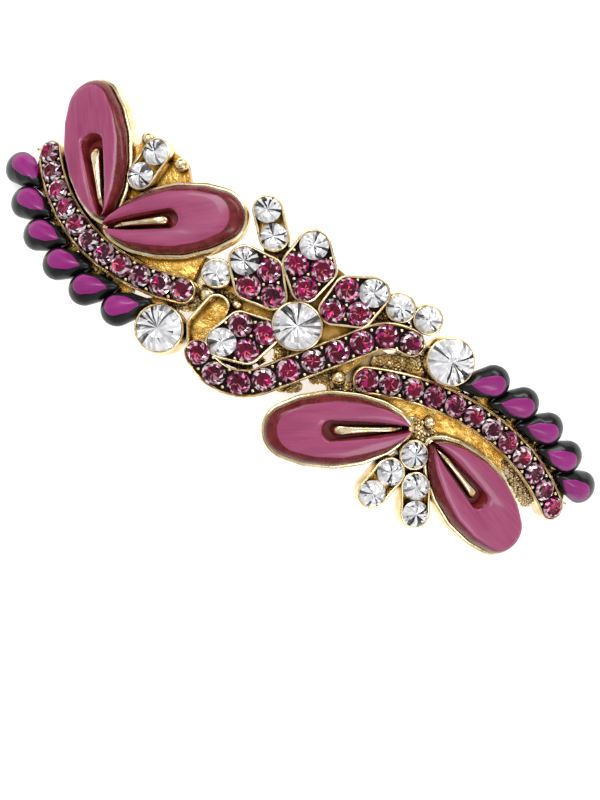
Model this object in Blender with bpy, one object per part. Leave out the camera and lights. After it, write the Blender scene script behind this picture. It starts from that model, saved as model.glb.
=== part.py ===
"""Rhinestone hair clip: an arched gold-tone ornament on a sprung barrette.

The ornament is laid out flat, in millimetres: u along the clip, v across it and w outward from the
back of the castings.  One bend then wraps the flat layout round the head.  The barrette behind it
is drawn directly in the bent frame.  Units in the scene are metres.
"""
import math

import bmesh
import bpy
from mathutils import Matrix, Vector
from mathutils.geometry import convex_hull_2d

MM = 0.001

# Overall shape
BEND_RADIUS = 60.0            # radius of the casting's back face
BEND_STEP = 5.0               # spacing of the cuts that let a long face bend
CUT_MARGIN = 0.2              # no cut nearer to an end than this share of the spacing
ORIGIN_SHIFT = (0.45, 0.4, 15.6)  # brings the underside to z = 0 and the middle to x = y = 0
ROUND_SIDES = 12              # sides of a full circle in a cup or tray outline
GEM_SIDES = 8

# Casting levels above its back face
PLATE_TOP = 1.0
POCKET_FLOOR = 0.9
ROW_RIM_TOP = 2.0
FLOWER_RIM_TOP = 2.6
CUP_RIM_TOP = 2.3
BIG_RIM_TOP = 3.0
RIM_WALL = 0.25
FIT = 0.08                    # clearance all round a set stone
CUT_OVER = 3.0                # a cutter runs this far past the face it opens

# Stones (diameters)
ROW_GEM = 2.6
PETAL_GEM = 2.75
SMALL_CLEAR = 2.95
PETAL_CLEAR = 3.3
BIG_CLEAR = 5.3
ROW_HALF_WIDTH = 1.63
TABLE_SHARE = 0.62             # table, crown and pavilion as shares of a stone's radius
CROWN_SHARE = 0.34
PAVILION_SHARE = 0.36
POINT_SHARE = 0.45
POINT_DROP = 0.35              # the pavilion's added depth
GIRDLE_DROP = 0.1              # a girdle lies this far below its rim
BIG_GEM_SIDES = 12
BED_LIFT = 0.08                # gap between a stone's adhesive bed and the pocket floor
BED_DROP = 0.4
BED_HALF_WIDTH = 0.7
PETAL_BED_RADIUS = 0.5

# Rows: arc centre, arc radius, first and last stone angle (degrees), number of stones
LEFT_ROW = ((-21.0, 20.1), 23.9, 220.6, 285.8, 11)
RIGHT_ROW = ((21.3, -31.2), 31.5, 112.2, 56.4, 12)

# Ribbon: start point, start heading, then (length, turn) legs
RIBBON_START = (-9.2, -8.6)
RIBBON_HEADING = -40.0
RIBBON_LEGS = ((8.9, 90.0), (13.6, 0.0), (4.9, -55.0))
RIBBON_GEMS = 10
RIBBON_HALF_WIDTH = 1.62

# Flower
FLOWER_CENTRE = (-0.6, -0.3)
PETALS = ((156.0, 4.4), (105.5, 4.5), (52.5, 4.5), (221.0, 3.7))   # heading, inner stone distance
PETAL_PAIR_STEP = 2.65
PETAL_TIP_STEP = 5.2
PETAL_PAIR_HALF = 1.55

# Wings: hub, heading, stretch.  The outline is the hull of circles along the wing's axis.
WINGS = (((-27.2, 0.4), 128.0, 1.09), ((-26.4, -0.5), 32.5, 1.01),
         ((16.4, -4.7), 209.7, 1.01), ((19.8, -5.0), -22.5, 1.02))
WING_CIRCLES = ((13.6, 2.95), (11.5, 3.7), (9.0, 4.05), (6.5, 3.75), (4.0, 2.95), (2.0, 1.85), (0.8, 0.9))
WING_WALL = 0.5
WING_RIM_TOP = 1.9
WING_BOTTOM = 1.05
WING_TOP = 3.6
WING_EDGE = 0.25              # height and draw of the wing's softened upper edge
WING_DRAW = 0.955
WING_MIDDLE = 9.5
SLOT_ENDS = ((9.0, 1.35), (7.9, 1.15), (9.0, 1.15), (8.5, 1.05))   # far circle of each wing's slot
SLOT_MOUTH = (-1.5, 0.15)
VEIN_SETBACK = 0.4
VEIN_SHARE = 0.55
VEIN_NEAR = (1.2, 0.3)
VEIN_TOP = 3.0
VEIN_SHOULDER = 2.2
VEIN_MIDDLE = 6.0
VEIN_DRAW = 0.75
VEIN_FOOT = 0.2

# Drops: they stand round the outside of each row, swept back from the row's normal
DROP_SWEEP = 52.0
DROP_STAND_OFF = 4.75
DROP_LENGTH = 4.1
DROP_CIRCLES = ((0.0, 2.03), (-1.5, 1.7), (-DROP_LENGTH, 0.35))
LEFT_DROPS = (221.0, 271.0, 6)
RIGHT_DROPS = (87.0, 56.2, 5)
DROP_LEVELS = ((1.1, 0.9), (1.6, 1.0), (2.6, 0.86), (3.2, 0.4))
DROP_SIDES = 10
DROP_MIDDLE = -0.6
FINGER_HEAD = 1.1              # radii of the plate that carries a drop, and its reach past the drop's point
FINGER_ROOT = 0.6
FINGER_REACH = 1.2

# Loose clear stones and balls
BIG_STONES = {"left": (-14.5, -8.2), "centre": FLOWER_CENTRE, "right": (16.9, 4.6)}
BIG_CUP_WALL = 0.2
CLEAR_STONES = ((-25.3, 10.3), (-25.7, 7.0), (-9.9, 10.3), (-7.8, 7.8), (-11.7, 0.8), (8.9, 7.4),
                (12.4, 7.7), (18.5, -7.25), (16.9, -10.4), (16.2, -13.6), (20.5, -10.5), (22.0, -13.4))
LEFT_CLEARS = (0, 1)
CENTRE_CLEARS = (2, 3, 4, 5, 6)
RIGHT_CLEARS = (7, 8, 9, 10, 11)
PILL_PAIRS = ((0, 1), (2, 3), (8, 9), (10, 11))
LEFT_BALLS = ((-27.4, 11.4, 0.9), (-22.0, 10.4, 0.85))
CENTRE_BALLS = ((-11.5, -1.9, 0.95), (-8.0, -1.4, 0.6), (6.4, -3.4, 0.8))
RIGHT_BALLS = ((18.6, -2.9, 0.7), (23.4, -9.4, 0.5))

# Back webs of the castings: hulls of circles (u, v, radius)
LEFT_WEBS = (((-30.0, 2.5, 1.0), (-27.4, 11.3, 0.8), (-22.2, 10.2, 0.9), (-17.0, 4.0, 1.0)),
             ((-26.0, -1.0, 1.0), (-15.2, 3.2, 0.9), (-15.0, -1.2, 0.9)),
             ((-15.6, -3.4, 0.9), (-14.8, -6.6, 1.0)))
CENTRE_WEBS = (((-7.8, 3.4, 1.2), (-2.8, 7.6, 1.2), (4.0, 6.0, 1.2), (-5.0, -5.2, 1.2)),
               ((-8.0, 7.2, 1.0), (-3.5, 6.0, 1.0), (-6.0, 4.0, 1.0)),
               ((-11.4, -1.8, 0.8), (-9.8, -5.4, 1.2), (-4.0, -2.0, 1.2), (-7.0, 1.0, 1.0)),
               ((3.5, -3.2, 1.2), (5.8, -3.0, 0.8), (8.8, 3.4, 1.0), (3.0, 5.0, 1.0)),
               ((8.9, 7.4, 0.8), (12.4, 7.7, 0.8)))
RIGHT_WEBS = (((10.2, -3.2, 0.9), (18.5, -4.5, 1.0), (30.0, -3.2, 0.9), (20.0, -0.2, 1.0)),
              ((16.8, -4.7, 1.4), (19.8, -5.0, 1.4), (18.8, -7.4, 1.4)),
              ((18.9, -7.1, 1.2), (16.9, -10.4, 1.2), (20.5, -10.5, 1.2)),
              ((9.6, 0.3, 0.6), (12.0, 1.2, 0.9), (14.3, 2.3, 0.8)),
              ((16.9, 1.2, 1.0), (16.9, 3.0, 1.2)))
SCOOP = ((-9.8, -2.7, 1.5), (-10.2, -5.6, 1.85), (-9.7, -7.4, 1.4))
SCOOP_FLOOR = 1.2

# Barrette (x along, y across, z up, before the origin shift)
BAR_TOP = -0.15
BAR_THICK = 0.8
BAR_HALF_LENGTH = 31.0
BAR_MID_Y = -1.0
BAR_HALF_WIDTH = 3.0
PIN_X = -26.5
PIN_Z = -14.0
PIN_RADIUS = 0.5
PIN_FIT = 0.08                # between the pin and the ears' holes
PIN_SIDES = 12
EYE_BORE = 0.7
EYE_RADIUS = 1.2
EAR_THICK = 0.6
EAR_RADIUS = 1.6
ARM_THICK = 0.7
ARM_HALF_WIDTH = 2.3
ARM_END_X = 30.0
ARM_SAG = 2.4
ARM_END_Z = -15.6
WINDOW_HALF_Y = 1.75
WINDOW_X = (24.6, 27.9)
LEAF_THICK = 0.4
LEAF_HALF_WIDTH = 1.6
LEAF_CREST_Z = -5.4
LEAF_END_X = 21.0
LEAF_END_Z = -9.6
CATCH_X = 26.2
CATCH_HALF_X = 1.2
CATCH_TOP_Z = -8.1
PRONG_Y = 1.25
PRONG_THICK = 0.4
PRONG_PIVOT_Z = -9.1
RIVETS = ((-20.0, 0.0), (22.0, -2.6))
RIVET_RADIUS = 0.7
RIVET_HEAD = 1.3
RIVET_DOME = 0.7              # a head's small end, as a share of its radius
RIVET_SHANK_TOP = 0.55
HOLE_FIT = 0.1
HOLE_TOP = 0.7
BAR_STEPS = 15
EAR_STEPS = 8
EAR_ROOT = ((5.0, -4.7), (-0.2, -7.0))   # (x from the pin, z) where an ear meets the bar
PIN_HEAD_RADIUS = 0.95
PIN_HEAD_THICK = 0.4
PIN_OVERHANG = 0.1
STRIP_STEPS = 14
EYE_NOTCH = 0.4               # the arm's eyes stand this far in from the leaf's half width
NOTCH_REACH = 2.2
NOTCH_DEPTH = 3.0
BORE_OVER = 0.5               # how far a bore's cutter runs past the metal
BORE_HALF_LENGTH = 5.0
RIVET_BORE_DEPTH = 2.0
LEAF_ROOT_RISE = 0.9
RIVET_HEIGHT = 0.5
LEAF_SIDE_GAP = 0.55
LEAF_EYE_RADIUS = 1.05
LEAF_START = 0.3
ARM_START = 0.6
SADDLE_HALF_Y = 2.2
SADDLE_GAP = 0.1
PRONG_FOOT_Z = -15.5
PRONG_GAP = 0.15
TAB_Z = (-12.6, -11.4)
TAB_REACH = 2.6

# Colours (linear RGB)
GOLD = (0.62, 0.40, 0.13)
RUBY = (0.32, 0.008, 0.07)
CLEAR = (0.78, 0.80, 0.83)
PINK = (0.42, 0.09, 0.20)
BLACK = (0.02, 0.012, 0.02)
STEEL = (0.55, 0.55, 0.56)
BRASS = (0.55, 0.42, 0.20)


# ---------------------------------------------------------------- flat outlines

def along(start, heading, distance, side=0.0):
    """The flat point at a distance along a heading, and a distance to its left."""
    angle = math.radians(heading)
    u = start[0] + distance * math.cos(angle) - side * math.sin(angle)
    v = start[1] + distance * math.sin(angle) + side * math.cos(angle)
    return (u, v)


def hull(circles, grow=0.0, sides=ROUND_SIDES):
    """Counter-clockwise outline round circles given as (u, v, radius)."""
    points = []
    for u, v, radius in circles:
        for step in range(sides):
            angle = 2.0 * math.pi * (step + 0.5) / sides
            points.append(Vector((u + (radius + grow) * math.cos(angle),
                                  v + (radius + grow) * math.sin(angle))))
    order = convex_hull_2d(points)
    outline = [tuple(points[index]) for index in order]
    if signed_area(outline) < 0.0:
        outline.reverse()
    return outline


def signed_area(outline):
    total = 0.0
    for (u0, v0), (u1, v1) in zip(outline, outline[1:] + outline[:1]):
        total += u0 * v1 - u1 * v0
    return 0.5 * total


def on_axis(start, heading, circles, stretch=1.0):
    """Circles given as (distance along the axis, radius), as (u, v, radius)."""
    placed = []
    for distance, radius in circles:
        u, v = along(start, heading, distance * stretch)
        placed.append((u, v, radius))
    return placed


def band(path, half_width, cap_steps=5):
    """Outline of a band of constant width along a path of (u, v, heading), with round ends."""
    left = [along((u, v), heading, 0.0, half_width) for u, v, heading in path]
    right = [along((u, v), heading, 0.0, -half_width) for u, v, heading in path]
    outline = list(right)
    outline += round_cap(path[-1], half_width, -90.0, cap_steps)
    outline += reversed(left)
    outline += round_cap(path[0], half_width, 90.0, cap_steps)
    return outline


def round_cap(end, radius, first_angle, steps):
    u, v, heading = end
    points = []
    for step in range(1, steps):
        angle = heading + first_angle + 180.0 * step / steps
        points.append(along((u, v), angle, radius))
    return points


def row_path(row, count):
    """Points along a row's arc, each with the heading of travel."""
    centre, radius, first, last, _gems = row
    turn = 90.0 if last > first else -90.0
    path = []
    for step in range(count):
        angle = first + (last - first) * step / (count - 1)
        u, v = along(centre, angle, radius)
        path.append((u, v, angle + turn))
    return path


def ribbon_path(count):
    """Points at an even pitch along the ribbon's legs."""
    total = sum(length for length, _turn in RIBBON_LEGS)
    return [ribbon_point(total * step / (count - 1)) for step in range(count)]


def ribbon_point(distance):
    point = RIBBON_START
    heading = RIBBON_HEADING
    for length, turn in RIBBON_LEGS:
        part = min(distance, length)
        swing = turn * part / length
        half = math.radians(swing) / 2.0
        chord = part if half == 0.0 else part * math.sin(half) / half
        point = along(point, heading + swing / 2.0, chord)
        heading += swing
        distance -= part
        if distance <= 0.0:
            break
    return (point[0], point[1], heading)


# ---------------------------------------------------------------- flat solids

def loft(rings):
    """A closed solid through rings of flat outlines, each (outline, w), all with equal counts."""
    mesh = bmesh.new()
    levels = []
    for outline, w in rings:
        levels.append([mesh.verts.new((u, v, w)) for u, v in outline])
    for lower, upper in zip(levels, levels[1:]):
        count = len(lower)
        for index in range(count):
            after = (index + 1) % count
            mesh.faces.new((lower[index], lower[after], upper[after], upper[index]))
    mesh.faces.new(list(reversed(levels[0])))
    mesh.faces.new(levels[-1])
    return mesh


def prism(outline, low, high):
    return loft([(outline, low), (outline, high)])


def shrunk(outline, middle, scale):
    return [(middle[0] + (u - middle[0]) * scale, middle[1] + (v - middle[1]) * scale)
            for u, v in outline]


def gem(u, v, girdle, diameter, sides=GEM_SIDES):
    """A round cut stone: pavilion, girdle, crown and table."""
    radius = diameter / 2.0
    circle = hull([(u, v, radius)], sides=sides)
    middle = (u, v)
    return loft([(shrunk(circle, middle, POINT_SHARE), girdle - PAVILION_SHARE * radius - POINT_DROP),
                 (circle, girdle),
                 (shrunk(circle, middle, TABLE_SHARE), girdle + CROWN_SHARE * radius)])


def ball(u, v, radius):
    mesh = bmesh.new()
    place = Matrix.Translation((u, v, PLATE_TOP + 0.5 * radius))
    bmesh.ops.create_uvsphere(mesh, u_segments=8, v_segments=6, radius=radius, matrix=place)
    return mesh


# ---------------------------------------------------------------- objects

def clear_scene():
    for obj in list(bpy.data.objects):
        bpy.data.objects.remove(obj, do_unlink=True)


def material(name, colour, roughness, metallic):
    made = bpy.data.materials.new(name)
    made.use_nodes = True
    shader = made.node_tree.nodes["Principled BSDF"]
    shader.inputs["Base Color"].default_value = (*colour, 1.0)
    shader.inputs["Roughness"].default_value = roughness
    shader.inputs["Metallic"].default_value = metallic
    made.diffuse_color = (*colour, 1.0)
    return made


def temporary(solid):
    mesh = bpy.data.meshes.new("work")
    solid.to_mesh(mesh)
    solid.free()
    obj = bpy.data.objects.new("work", mesh)
    bpy.context.scene.collection.objects.link(obj)
    return obj


def combine(base, others, operation):
    """The base solid after a Boolean with each of the others in turn."""
    target = temporary(base)
    for other in others:
        cutter = temporary(other)
        modifier = target.modifiers.new("cut", "BOOLEAN")
        modifier.operation = operation
        modifier.solver = "EXACT"
        modifier.object = cutter
        graph = bpy.context.evaluated_depsgraph_get()
        mesh = bpy.data.meshes.new_from_object(target.evaluated_get(graph))
        target.modifiers.clear()
        target.data = mesh
        bpy.data.objects.remove(cutter, do_unlink=True)
    result = bmesh.new()
    result.from_mesh(target.data)
    bpy.data.objects.remove(target, do_unlink=True)
    bmesh.ops.remove_doubles(result, verts=result.verts, dist=0.001)
    return result


def bend(solid, with_cuts=False):
    """Wrap a flat solid round the head, cutting long faces first where asked."""
    low = min(vertex.co.x for vertex in solid.verts)
    high = max(vertex.co.x for vertex in solid.verts)
    cut = BEND_STEP * math.ceil(low / BEND_STEP + CUT_MARGIN)
    while with_cuts and cut < high - CUT_MARGIN * BEND_STEP:
        geometry = list(solid.verts) + list(solid.edges) + list(solid.faces)
        bmesh.ops.bisect_plane(solid, geom=geometry, dist=0.0005,
                               plane_co=(cut, 0.0, 0.0), plane_no=(1.0, 0.0, 0.0))
        cut += BEND_STEP
    bmesh.ops.triangulate(solid, faces=list(solid.faces))
    for vertex in solid.verts:
        u, v, w = vertex.co
        angle = u / BEND_RADIUS
        reach = BEND_RADIUS + w
        vertex.co = (reach * math.sin(angle), v, reach * math.cos(angle) - BEND_RADIUS)
    return solid


def finish(solid, name, look, pivot=(0.0, 0.0, 0.0), parent=None):
    """Make the named object, in metres, with its origin on its pivot."""
    shift = Vector(ORIGIN_SHIFT)
    centre = Vector(pivot)
    bmesh.ops.translate(solid, verts=solid.verts, vec=-centre)
    bmesh.ops.scale(solid, verts=solid.verts, vec=(MM, MM, MM))
    bmesh.ops.recalc_face_normals(solid, faces=solid.faces)
    mesh = bpy.data.meshes.new(name)
    solid.to_mesh(mesh)
    solid.free()
    mesh.materials.append(look)
    mesh.shade_smooth()
    mesh.set_sharp_from_angle(angle=math.radians(30.0))
    obj = bpy.data.objects.new(name, mesh)
    obj.location = (centre + shift) * MM
    bpy.context.scene.collection.objects.link(obj)
    if parent is not None:
        obj.parent = parent
        obj.matrix_parent_inverse = parent.matrix_world.inverted()
    return obj


# ---------------------------------------------------------------- castings

def row_tray(row):
    path = row_path(row, 2 * row[4] - 1)
    outer = prism(band(path, ROW_HALF_WIDTH), 0.0, ROW_RIM_TOP)
    pocket = prism(band(path, ROW_HALF_WIDTH - RIM_WALL), POCKET_FLOOR, ROW_RIM_TOP + CUT_OVER)
    return [outer], [pocket]


def ribbon_tray():
    path = ribbon_path(2 * RIBBON_GEMS - 1)
    outer = prism(band(path, RIBBON_HALF_WIDTH), 0.0, FLOWER_RIM_TOP)
    inner = band(path, RIBBON_HALF_WIDTH - RIM_WALL)
    pocket = prism(inner, POCKET_FLOOR, FLOWER_RIM_TOP + CUT_OVER)
    scoop = prism(hull(SCOOP), 0.0, FLOWER_RIM_TOP)
    hollow = prism(hull(SCOOP, -RIM_WALL), SCOOP_FLOOR, FLOWER_RIM_TOP + CUT_OVER)
    return [outer, scoop], [pocket, hollow]


def petal_circles(index, grow):
    heading, inner = PETALS[index]
    ruby = PETAL_GEM / 2.0 + grow
    clear = PETAL_CLEAR / 2.0 + grow
    circles = [(*along(FLOWER_CENTRE, heading, inner), ruby)]
    for side in (-PETAL_PAIR_HALF, PETAL_PAIR_HALF):
        circles.append((*along(FLOWER_CENTRE, heading, inner + PETAL_PAIR_STEP, side), ruby))
    circles.append((*along(FLOWER_CENTRE, heading, inner + PETAL_TIP_STEP), clear))
    return circles


def petal_tray(index):
    outer = prism(hull(petal_circles(index, FIT + RIM_WALL)), 0.0, FLOWER_RIM_TOP)
    pocket = prism(hull(petal_circles(index, FIT)), POCKET_FLOOR, FLOWER_RIM_TOP + CUT_OVER)
    return [outer], [pocket]


def wing_tray(index):
    hub, heading, stretch = WINGS[index]
    shape = on_axis(hub, heading, WING_CIRCLES, stretch)
    outer = prism(hull(shape, FIT + WING_WALL), 0.0, WING_RIM_TOP)
    pocket = prism(hull(shape, FIT), POCKET_FLOOR, WING_RIM_TOP + CUT_OVER)
    return [outer], [pocket]


def wing_vein(index):
    hub, heading, _stretch = WINGS[index]
    reach, half_width = SLOT_ENDS[index]
    far = (reach - VEIN_SETBACK, half_width * VEIN_SHARE)
    low = hull(on_axis(hub, heading, (far, VEIN_NEAR)))
    ridge = shrunk(low, along(hub, heading, VEIN_MIDDLE), VEIN_DRAW)
    return loft([(low, VEIN_FOOT), (low, VEIN_SHOULDER), (ridge, VEIN_TOP)])


def cup(centre, diameter, rim_top, wall=RIM_WALL):
    circle = [(*centre, diameter / 2.0)]
    outer = prism(hull(circle, FIT + wall), 0.0, rim_top)
    pocket = prism(hull(circle, FIT), POCKET_FLOOR, rim_top + CUT_OVER)
    return [outer], [pocket]


def pill_cup(pair):
    circles = [(*CLEAR_STONES[index], SMALL_CLEAR / 2.0) for index in pair]
    outer = prism(hull(circles, FIT + RIM_WALL), 0.0, CUP_RIM_TOP)
    pocket = prism(hull(circles, FIT), POCKET_FLOOR, CUP_RIM_TOP + CUT_OVER)
    return [outer], [pocket]


def clear_cups(indices):
    """Cups of the small clear stones: a pill for each pair, a round cup for each single."""
    trays = []
    paired = set()
    for pair in PILL_PAIRS:
        if pair[0] in indices:
            trays.append(pill_cup(pair))
            paired.update(pair)
    for index in indices:
        if index not in paired:
            trays.append(cup(CLEAR_STONES[index], SMALL_CLEAR, CUP_RIM_TOP))
    return trays


def drop_place(row, angle):
    """Round centre and outward heading of a drop at an angle on its row's arc."""
    centre, radius, _first, _last, _gems = row
    return along(centre, angle, radius + DROP_STAND_OFF), angle - DROP_SWEEP


def drop_angles(spread):
    first, last, count = spread
    return [first + (last - first) * step / (count - 1) for step in range(count)]


def drop_fingers(row, spread):
    """Thin plates that carry the drops out from the row."""
    fingers = []
    for angle in drop_angles(spread):
        place, heading = drop_place(row, angle)
        root = along(place, heading + 180.0, DROP_LENGTH + FINGER_REACH)
        circles = [(*place, FINGER_HEAD), (*root, FINGER_ROOT)]
        fingers.append(prism(hull(circles), 0.0, PLATE_TOP))
    return fingers


def rivet_hole(spot):
    return prism(hull([(*spot, RIVET_RADIUS + HOLE_FIT)]), -1.0, HOLE_TOP)


def casting(trays, solids, webs, balls, veins, hole=None):
    outers = [prism(hull(web), 0.0, PLATE_TOP) for web in webs] + list(solids)
    pockets = []
    for tray_outers, tray_pockets in trays:
        outers += tray_outers
        pockets += tray_pockets
    outers += [ball(*spec) for spec in balls]
    body = combine(outers[0], outers[1:], "UNION")
    body = combine(body, pockets, "DIFFERENCE")
    if veins:
        body = combine(body, veins, "UNION")
    if hole is not None:
        body = combine(body, [hole], "DIFFERENCE")
    return bend(body, with_cuts=True)


def left_casting():
    trays = [row_tray(LEFT_ROW), wing_tray(0), wing_tray(1)]
    trays.append(cup(BIG_STONES["left"], BIG_CLEAR, BIG_RIM_TOP, BIG_CUP_WALL))
    trays += clear_cups(LEFT_CLEARS)
    fingers = drop_fingers(LEFT_ROW, LEFT_DROPS)
    veins = [wing_vein(0), wing_vein(1)]
    return casting(trays, fingers, LEFT_WEBS, LEFT_BALLS, veins, rivet_hole(RIVETS[0]))


def centre_casting():
    trays = [petal_tray(index) for index in range(len(PETALS))]
    trays.append(ribbon_tray())
    trays.append(cup(FLOWER_CENTRE, BIG_CLEAR, BIG_RIM_TOP, BIG_CUP_WALL))
    trays += clear_cups(CENTRE_CLEARS)
    return casting(trays, [], CENTRE_WEBS, CENTRE_BALLS, [])


def right_casting():
    trays = [row_tray(RIGHT_ROW), wing_tray(2), wing_tray(3)]
    trays.append(cup(BIG_STONES["right"], BIG_CLEAR, BIG_RIM_TOP, BIG_CUP_WALL))
    trays += clear_cups(RIGHT_CLEARS)
    fingers = drop_fingers(RIGHT_ROW, RIGHT_DROPS)
    veins = [wing_vein(2), wing_vein(3)]
    return casting(trays, fingers, RIGHT_WEBS, RIGHT_BALLS, veins, rivet_hole(RIVETS[1]))


# ---------------------------------------------------------------- stones, wings and drops

def gem_strip(path, spots, girdle, diameter):
    """Stones in line, joined by the adhesive bed they are set in."""
    bed = prism(band(path, BED_HALF_WIDTH, 4), POCKET_FLOOR + BED_LIFT, girdle - BED_DROP)
    stones = [gem(u, v, girdle, diameter) for u, v in spots]
    return bend(combine(bed, stones, "UNION"))


def petal_gems(index):
    circles = petal_circles(index, 0.0)[:3]
    spots = [(u, v) for u, v, _radius in circles]
    girdle = FLOWER_RIM_TOP - GIRDLE_DROP
    bed = prism(hull([(u, v, PETAL_BED_RADIUS) for u, v in spots], sides=8),
                POCKET_FLOOR + BED_LIFT, girdle - BED_DROP)
    stones = [gem(u, v, girdle, PETAL_GEM) for u, v in spots]
    return bend(combine(bed, stones, "UNION"))


def wing_stone(index):
    hub, heading, stretch = WINGS[index]
    outline = hull(on_axis(hub, heading, WING_CIRCLES, stretch))
    middle = along(hub, heading, WING_MIDDLE)
    body = loft([(outline, WING_BOTTOM), (outline, WING_TOP - WING_EDGE),
                 (shrunk(outline, middle, WING_DRAW), WING_TOP)])
    slot = prism(hull(on_axis(hub, heading, (SLOT_ENDS[index], SLOT_MOUTH))), 0.0, WING_TOP + 1.0)
    return bend(combine(body, [slot], "DIFFERENCE"), with_cuts=True)


def drop(row, angle):
    place, heading = drop_place(row, angle)
    circles = on_axis(place, heading, DROP_CIRCLES)
    outline = hull(circles, sides=DROP_SIDES)
    middle = along(place, heading, DROP_MIDDLE)
    return bend(loft([(shrunk(outline, middle, scale), w) for w, scale in DROP_LEVELS]))


# ---------------------------------------------------------------- barrette

def extruded(profile, y_low, y_high):
    """A solid from an (x, z) profile, counter-clockwise seen from the front, run along y."""
    mesh = bmesh.new()
    near = [mesh.verts.new((x, y_low, z)) for x, z in profile]
    far = [mesh.verts.new((x, y_high, z)) for x, z in profile]
    count = len(profile)
    for index in range(count):
        after = (index + 1) % count
        mesh.faces.new((near[index], near[after], far[after], far[index]))
    mesh.faces.new(near)
    mesh.faces.new(list(reversed(far)))
    bmesh.ops.recalc_face_normals(mesh, faces=mesh.faces)
    return mesh


def block(low, high):
    mesh = bmesh.new()
    bmesh.ops.create_cube(mesh, size=1.0)
    size = Vector(high) - Vector(low)
    middle = (Vector(high) + Vector(low)) / 2.0
    bmesh.ops.scale(mesh, verts=mesh.verts, vec=size)
    bmesh.ops.translate(mesh, verts=mesh.verts, vec=middle)
    return mesh


def rod_y(x, z, radius, y_low, y_high, sides=PIN_SIDES):
    points = []
    for step in range(sides):
        angle = 2.0 * math.pi * (step + 0.5) / sides
        points.append((x + radius * math.cos(angle), z + radius * math.sin(angle)))
    return extruded(points, y_low, y_high)


def strip_profile(x_low, x_high, top, thickness, steps):
    """Profile of a curved strip whose upper line is top(x)."""
    xs = [x_low + (x_high - x_low) * step / steps for step in range(steps + 1)]
    lower = [(x, top(x) - thickness) for x in xs]
    upper = [(x, top(x)) for x in reversed(xs)]
    return lower + upper


def side_y(offset):
    return BAR_MID_Y + offset


def base_bar():
    steps = BAR_STEPS
    low_w = BAR_TOP - BAR_THICK
    angles = [BAR_HALF_LENGTH * (2.0 * step / steps - 1.0) / BEND_RADIUS for step in range(steps + 1)]

    def arc(w, order):
        reach = BEND_RADIUS + w
        return [(reach * math.sin(a), reach * math.cos(a) - BEND_RADIUS) for a in order]

    profile = arc(low_w, angles) + arc(BAR_TOP, list(reversed(angles)))
    strip = extruded(profile, side_y(-BAR_HALF_WIDTH), side_y(BAR_HALF_WIDTH))
    ears = []
    bores = []
    for side in (-1.0, 1.0):
        outer = side_y(side * BAR_HALF_WIDTH)
        inner = side_y(side * (BAR_HALF_WIDTH - EAR_THICK))
        ears.append(ear(min(outer, inner), max(outer, inner)))
        bores.append(rod_y(PIN_X, PIN_Z, PIN_RADIUS + PIN_FIT, min(outer, inner) - BORE_OVER,
                           max(outer, inner) + BORE_OVER))
    for spot in RIVETS:
        hole = prism(hull([(*spot, RIVET_RADIUS + HOLE_FIT)]), -RIVET_BORE_DEPTH, BORE_OVER)
        bores.append(bend(hole))
    body = combine(strip, ears, "UNION")
    return combine(body, bores, "DIFFERENCE")


def ear(y_low, y_high):
    """A hinge ear: a tapering cheek with a round end about the pin."""
    points = []
    for step in range(EAR_STEPS + 1):
        angle = math.radians(180.0 + 180.0 * step / EAR_STEPS)
        points.append((PIN_X + EAR_RADIUS * math.cos(angle), PIN_Z + EAR_RADIUS * math.sin(angle)))
    points += [(PIN_X + x, z) for x, z in EAR_ROOT]
    return extruded(points, y_low, y_high)


def hinge_pin():
    y_low = side_y(-BAR_HALF_WIDTH) - PIN_OVERHANG
    y_high = side_y(BAR_HALF_WIDTH) + PIN_OVERHANG
    shank = rod_y(PIN_X, PIN_Z, PIN_RADIUS, y_low - PIN_OVERHANG, y_high + PIN_OVERHANG)
    heads = [rod_y(PIN_X, PIN_Z, PIN_HEAD_RADIUS, y_low - PIN_HEAD_THICK, y_low),
             rod_y(PIN_X, PIN_Z, PIN_HEAD_RADIUS, y_high, y_high + PIN_HEAD_THICK)]
    return combine(shank, heads, "UNION")


def arm_top(x):
    """Upper line of the locking arm: a shallow arch between its ends."""
    middle = (PIN_X + ARM_END_X) / 2.0
    half = (ARM_END_X - PIN_X) / 2.0
    return ARM_END_Z + ARM_THICK + ARM_SAG * (1.0 - ((x - middle) / half) ** 2)


def locking_arm():
    strip = extruded(strip_profile(PIN_X + ARM_START, ARM_END_X, arm_top, ARM_THICK, STRIP_STEPS),
                     side_y(-ARM_HALF_WIDTH), side_y(ARM_HALF_WIDTH))
    eyes = []
    bores = []
    for side in (-1.0, 1.0):
        inner = side_y(side * (LEAF_HALF_WIDTH - EYE_NOTCH))
        outer = side_y(side * ARM_HALF_WIDTH)
        eyes.append(rod_y(PIN_X, PIN_Z, EYE_RADIUS, min(inner, outer), max(inner, outer)))
    bores.append(rod_y(PIN_X, PIN_Z, EYE_BORE, side_y(-BORE_HALF_LENGTH), side_y(BORE_HALF_LENGTH)))
    notch = LEAF_HALF_WIDTH - EYE_NOTCH
    bores.append(block((PIN_X - NOTCH_DEPTH, side_y(-notch), PIN_Z - NOTCH_DEPTH),
                       (PIN_X + NOTCH_REACH, side_y(notch), PIN_Z + NOTCH_DEPTH)))
    bores.append(block((WINDOW_X[0], side_y(-WINDOW_HALF_Y), ARM_END_Z - CUT_OVER),
                       (WINDOW_X[1], side_y(WINDOW_HALF_Y), ARM_END_Z + CUT_OVER)))
    body = combine(strip, eyes, "UNION")
    return combine(body, bores, "DIFFERENCE")


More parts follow.
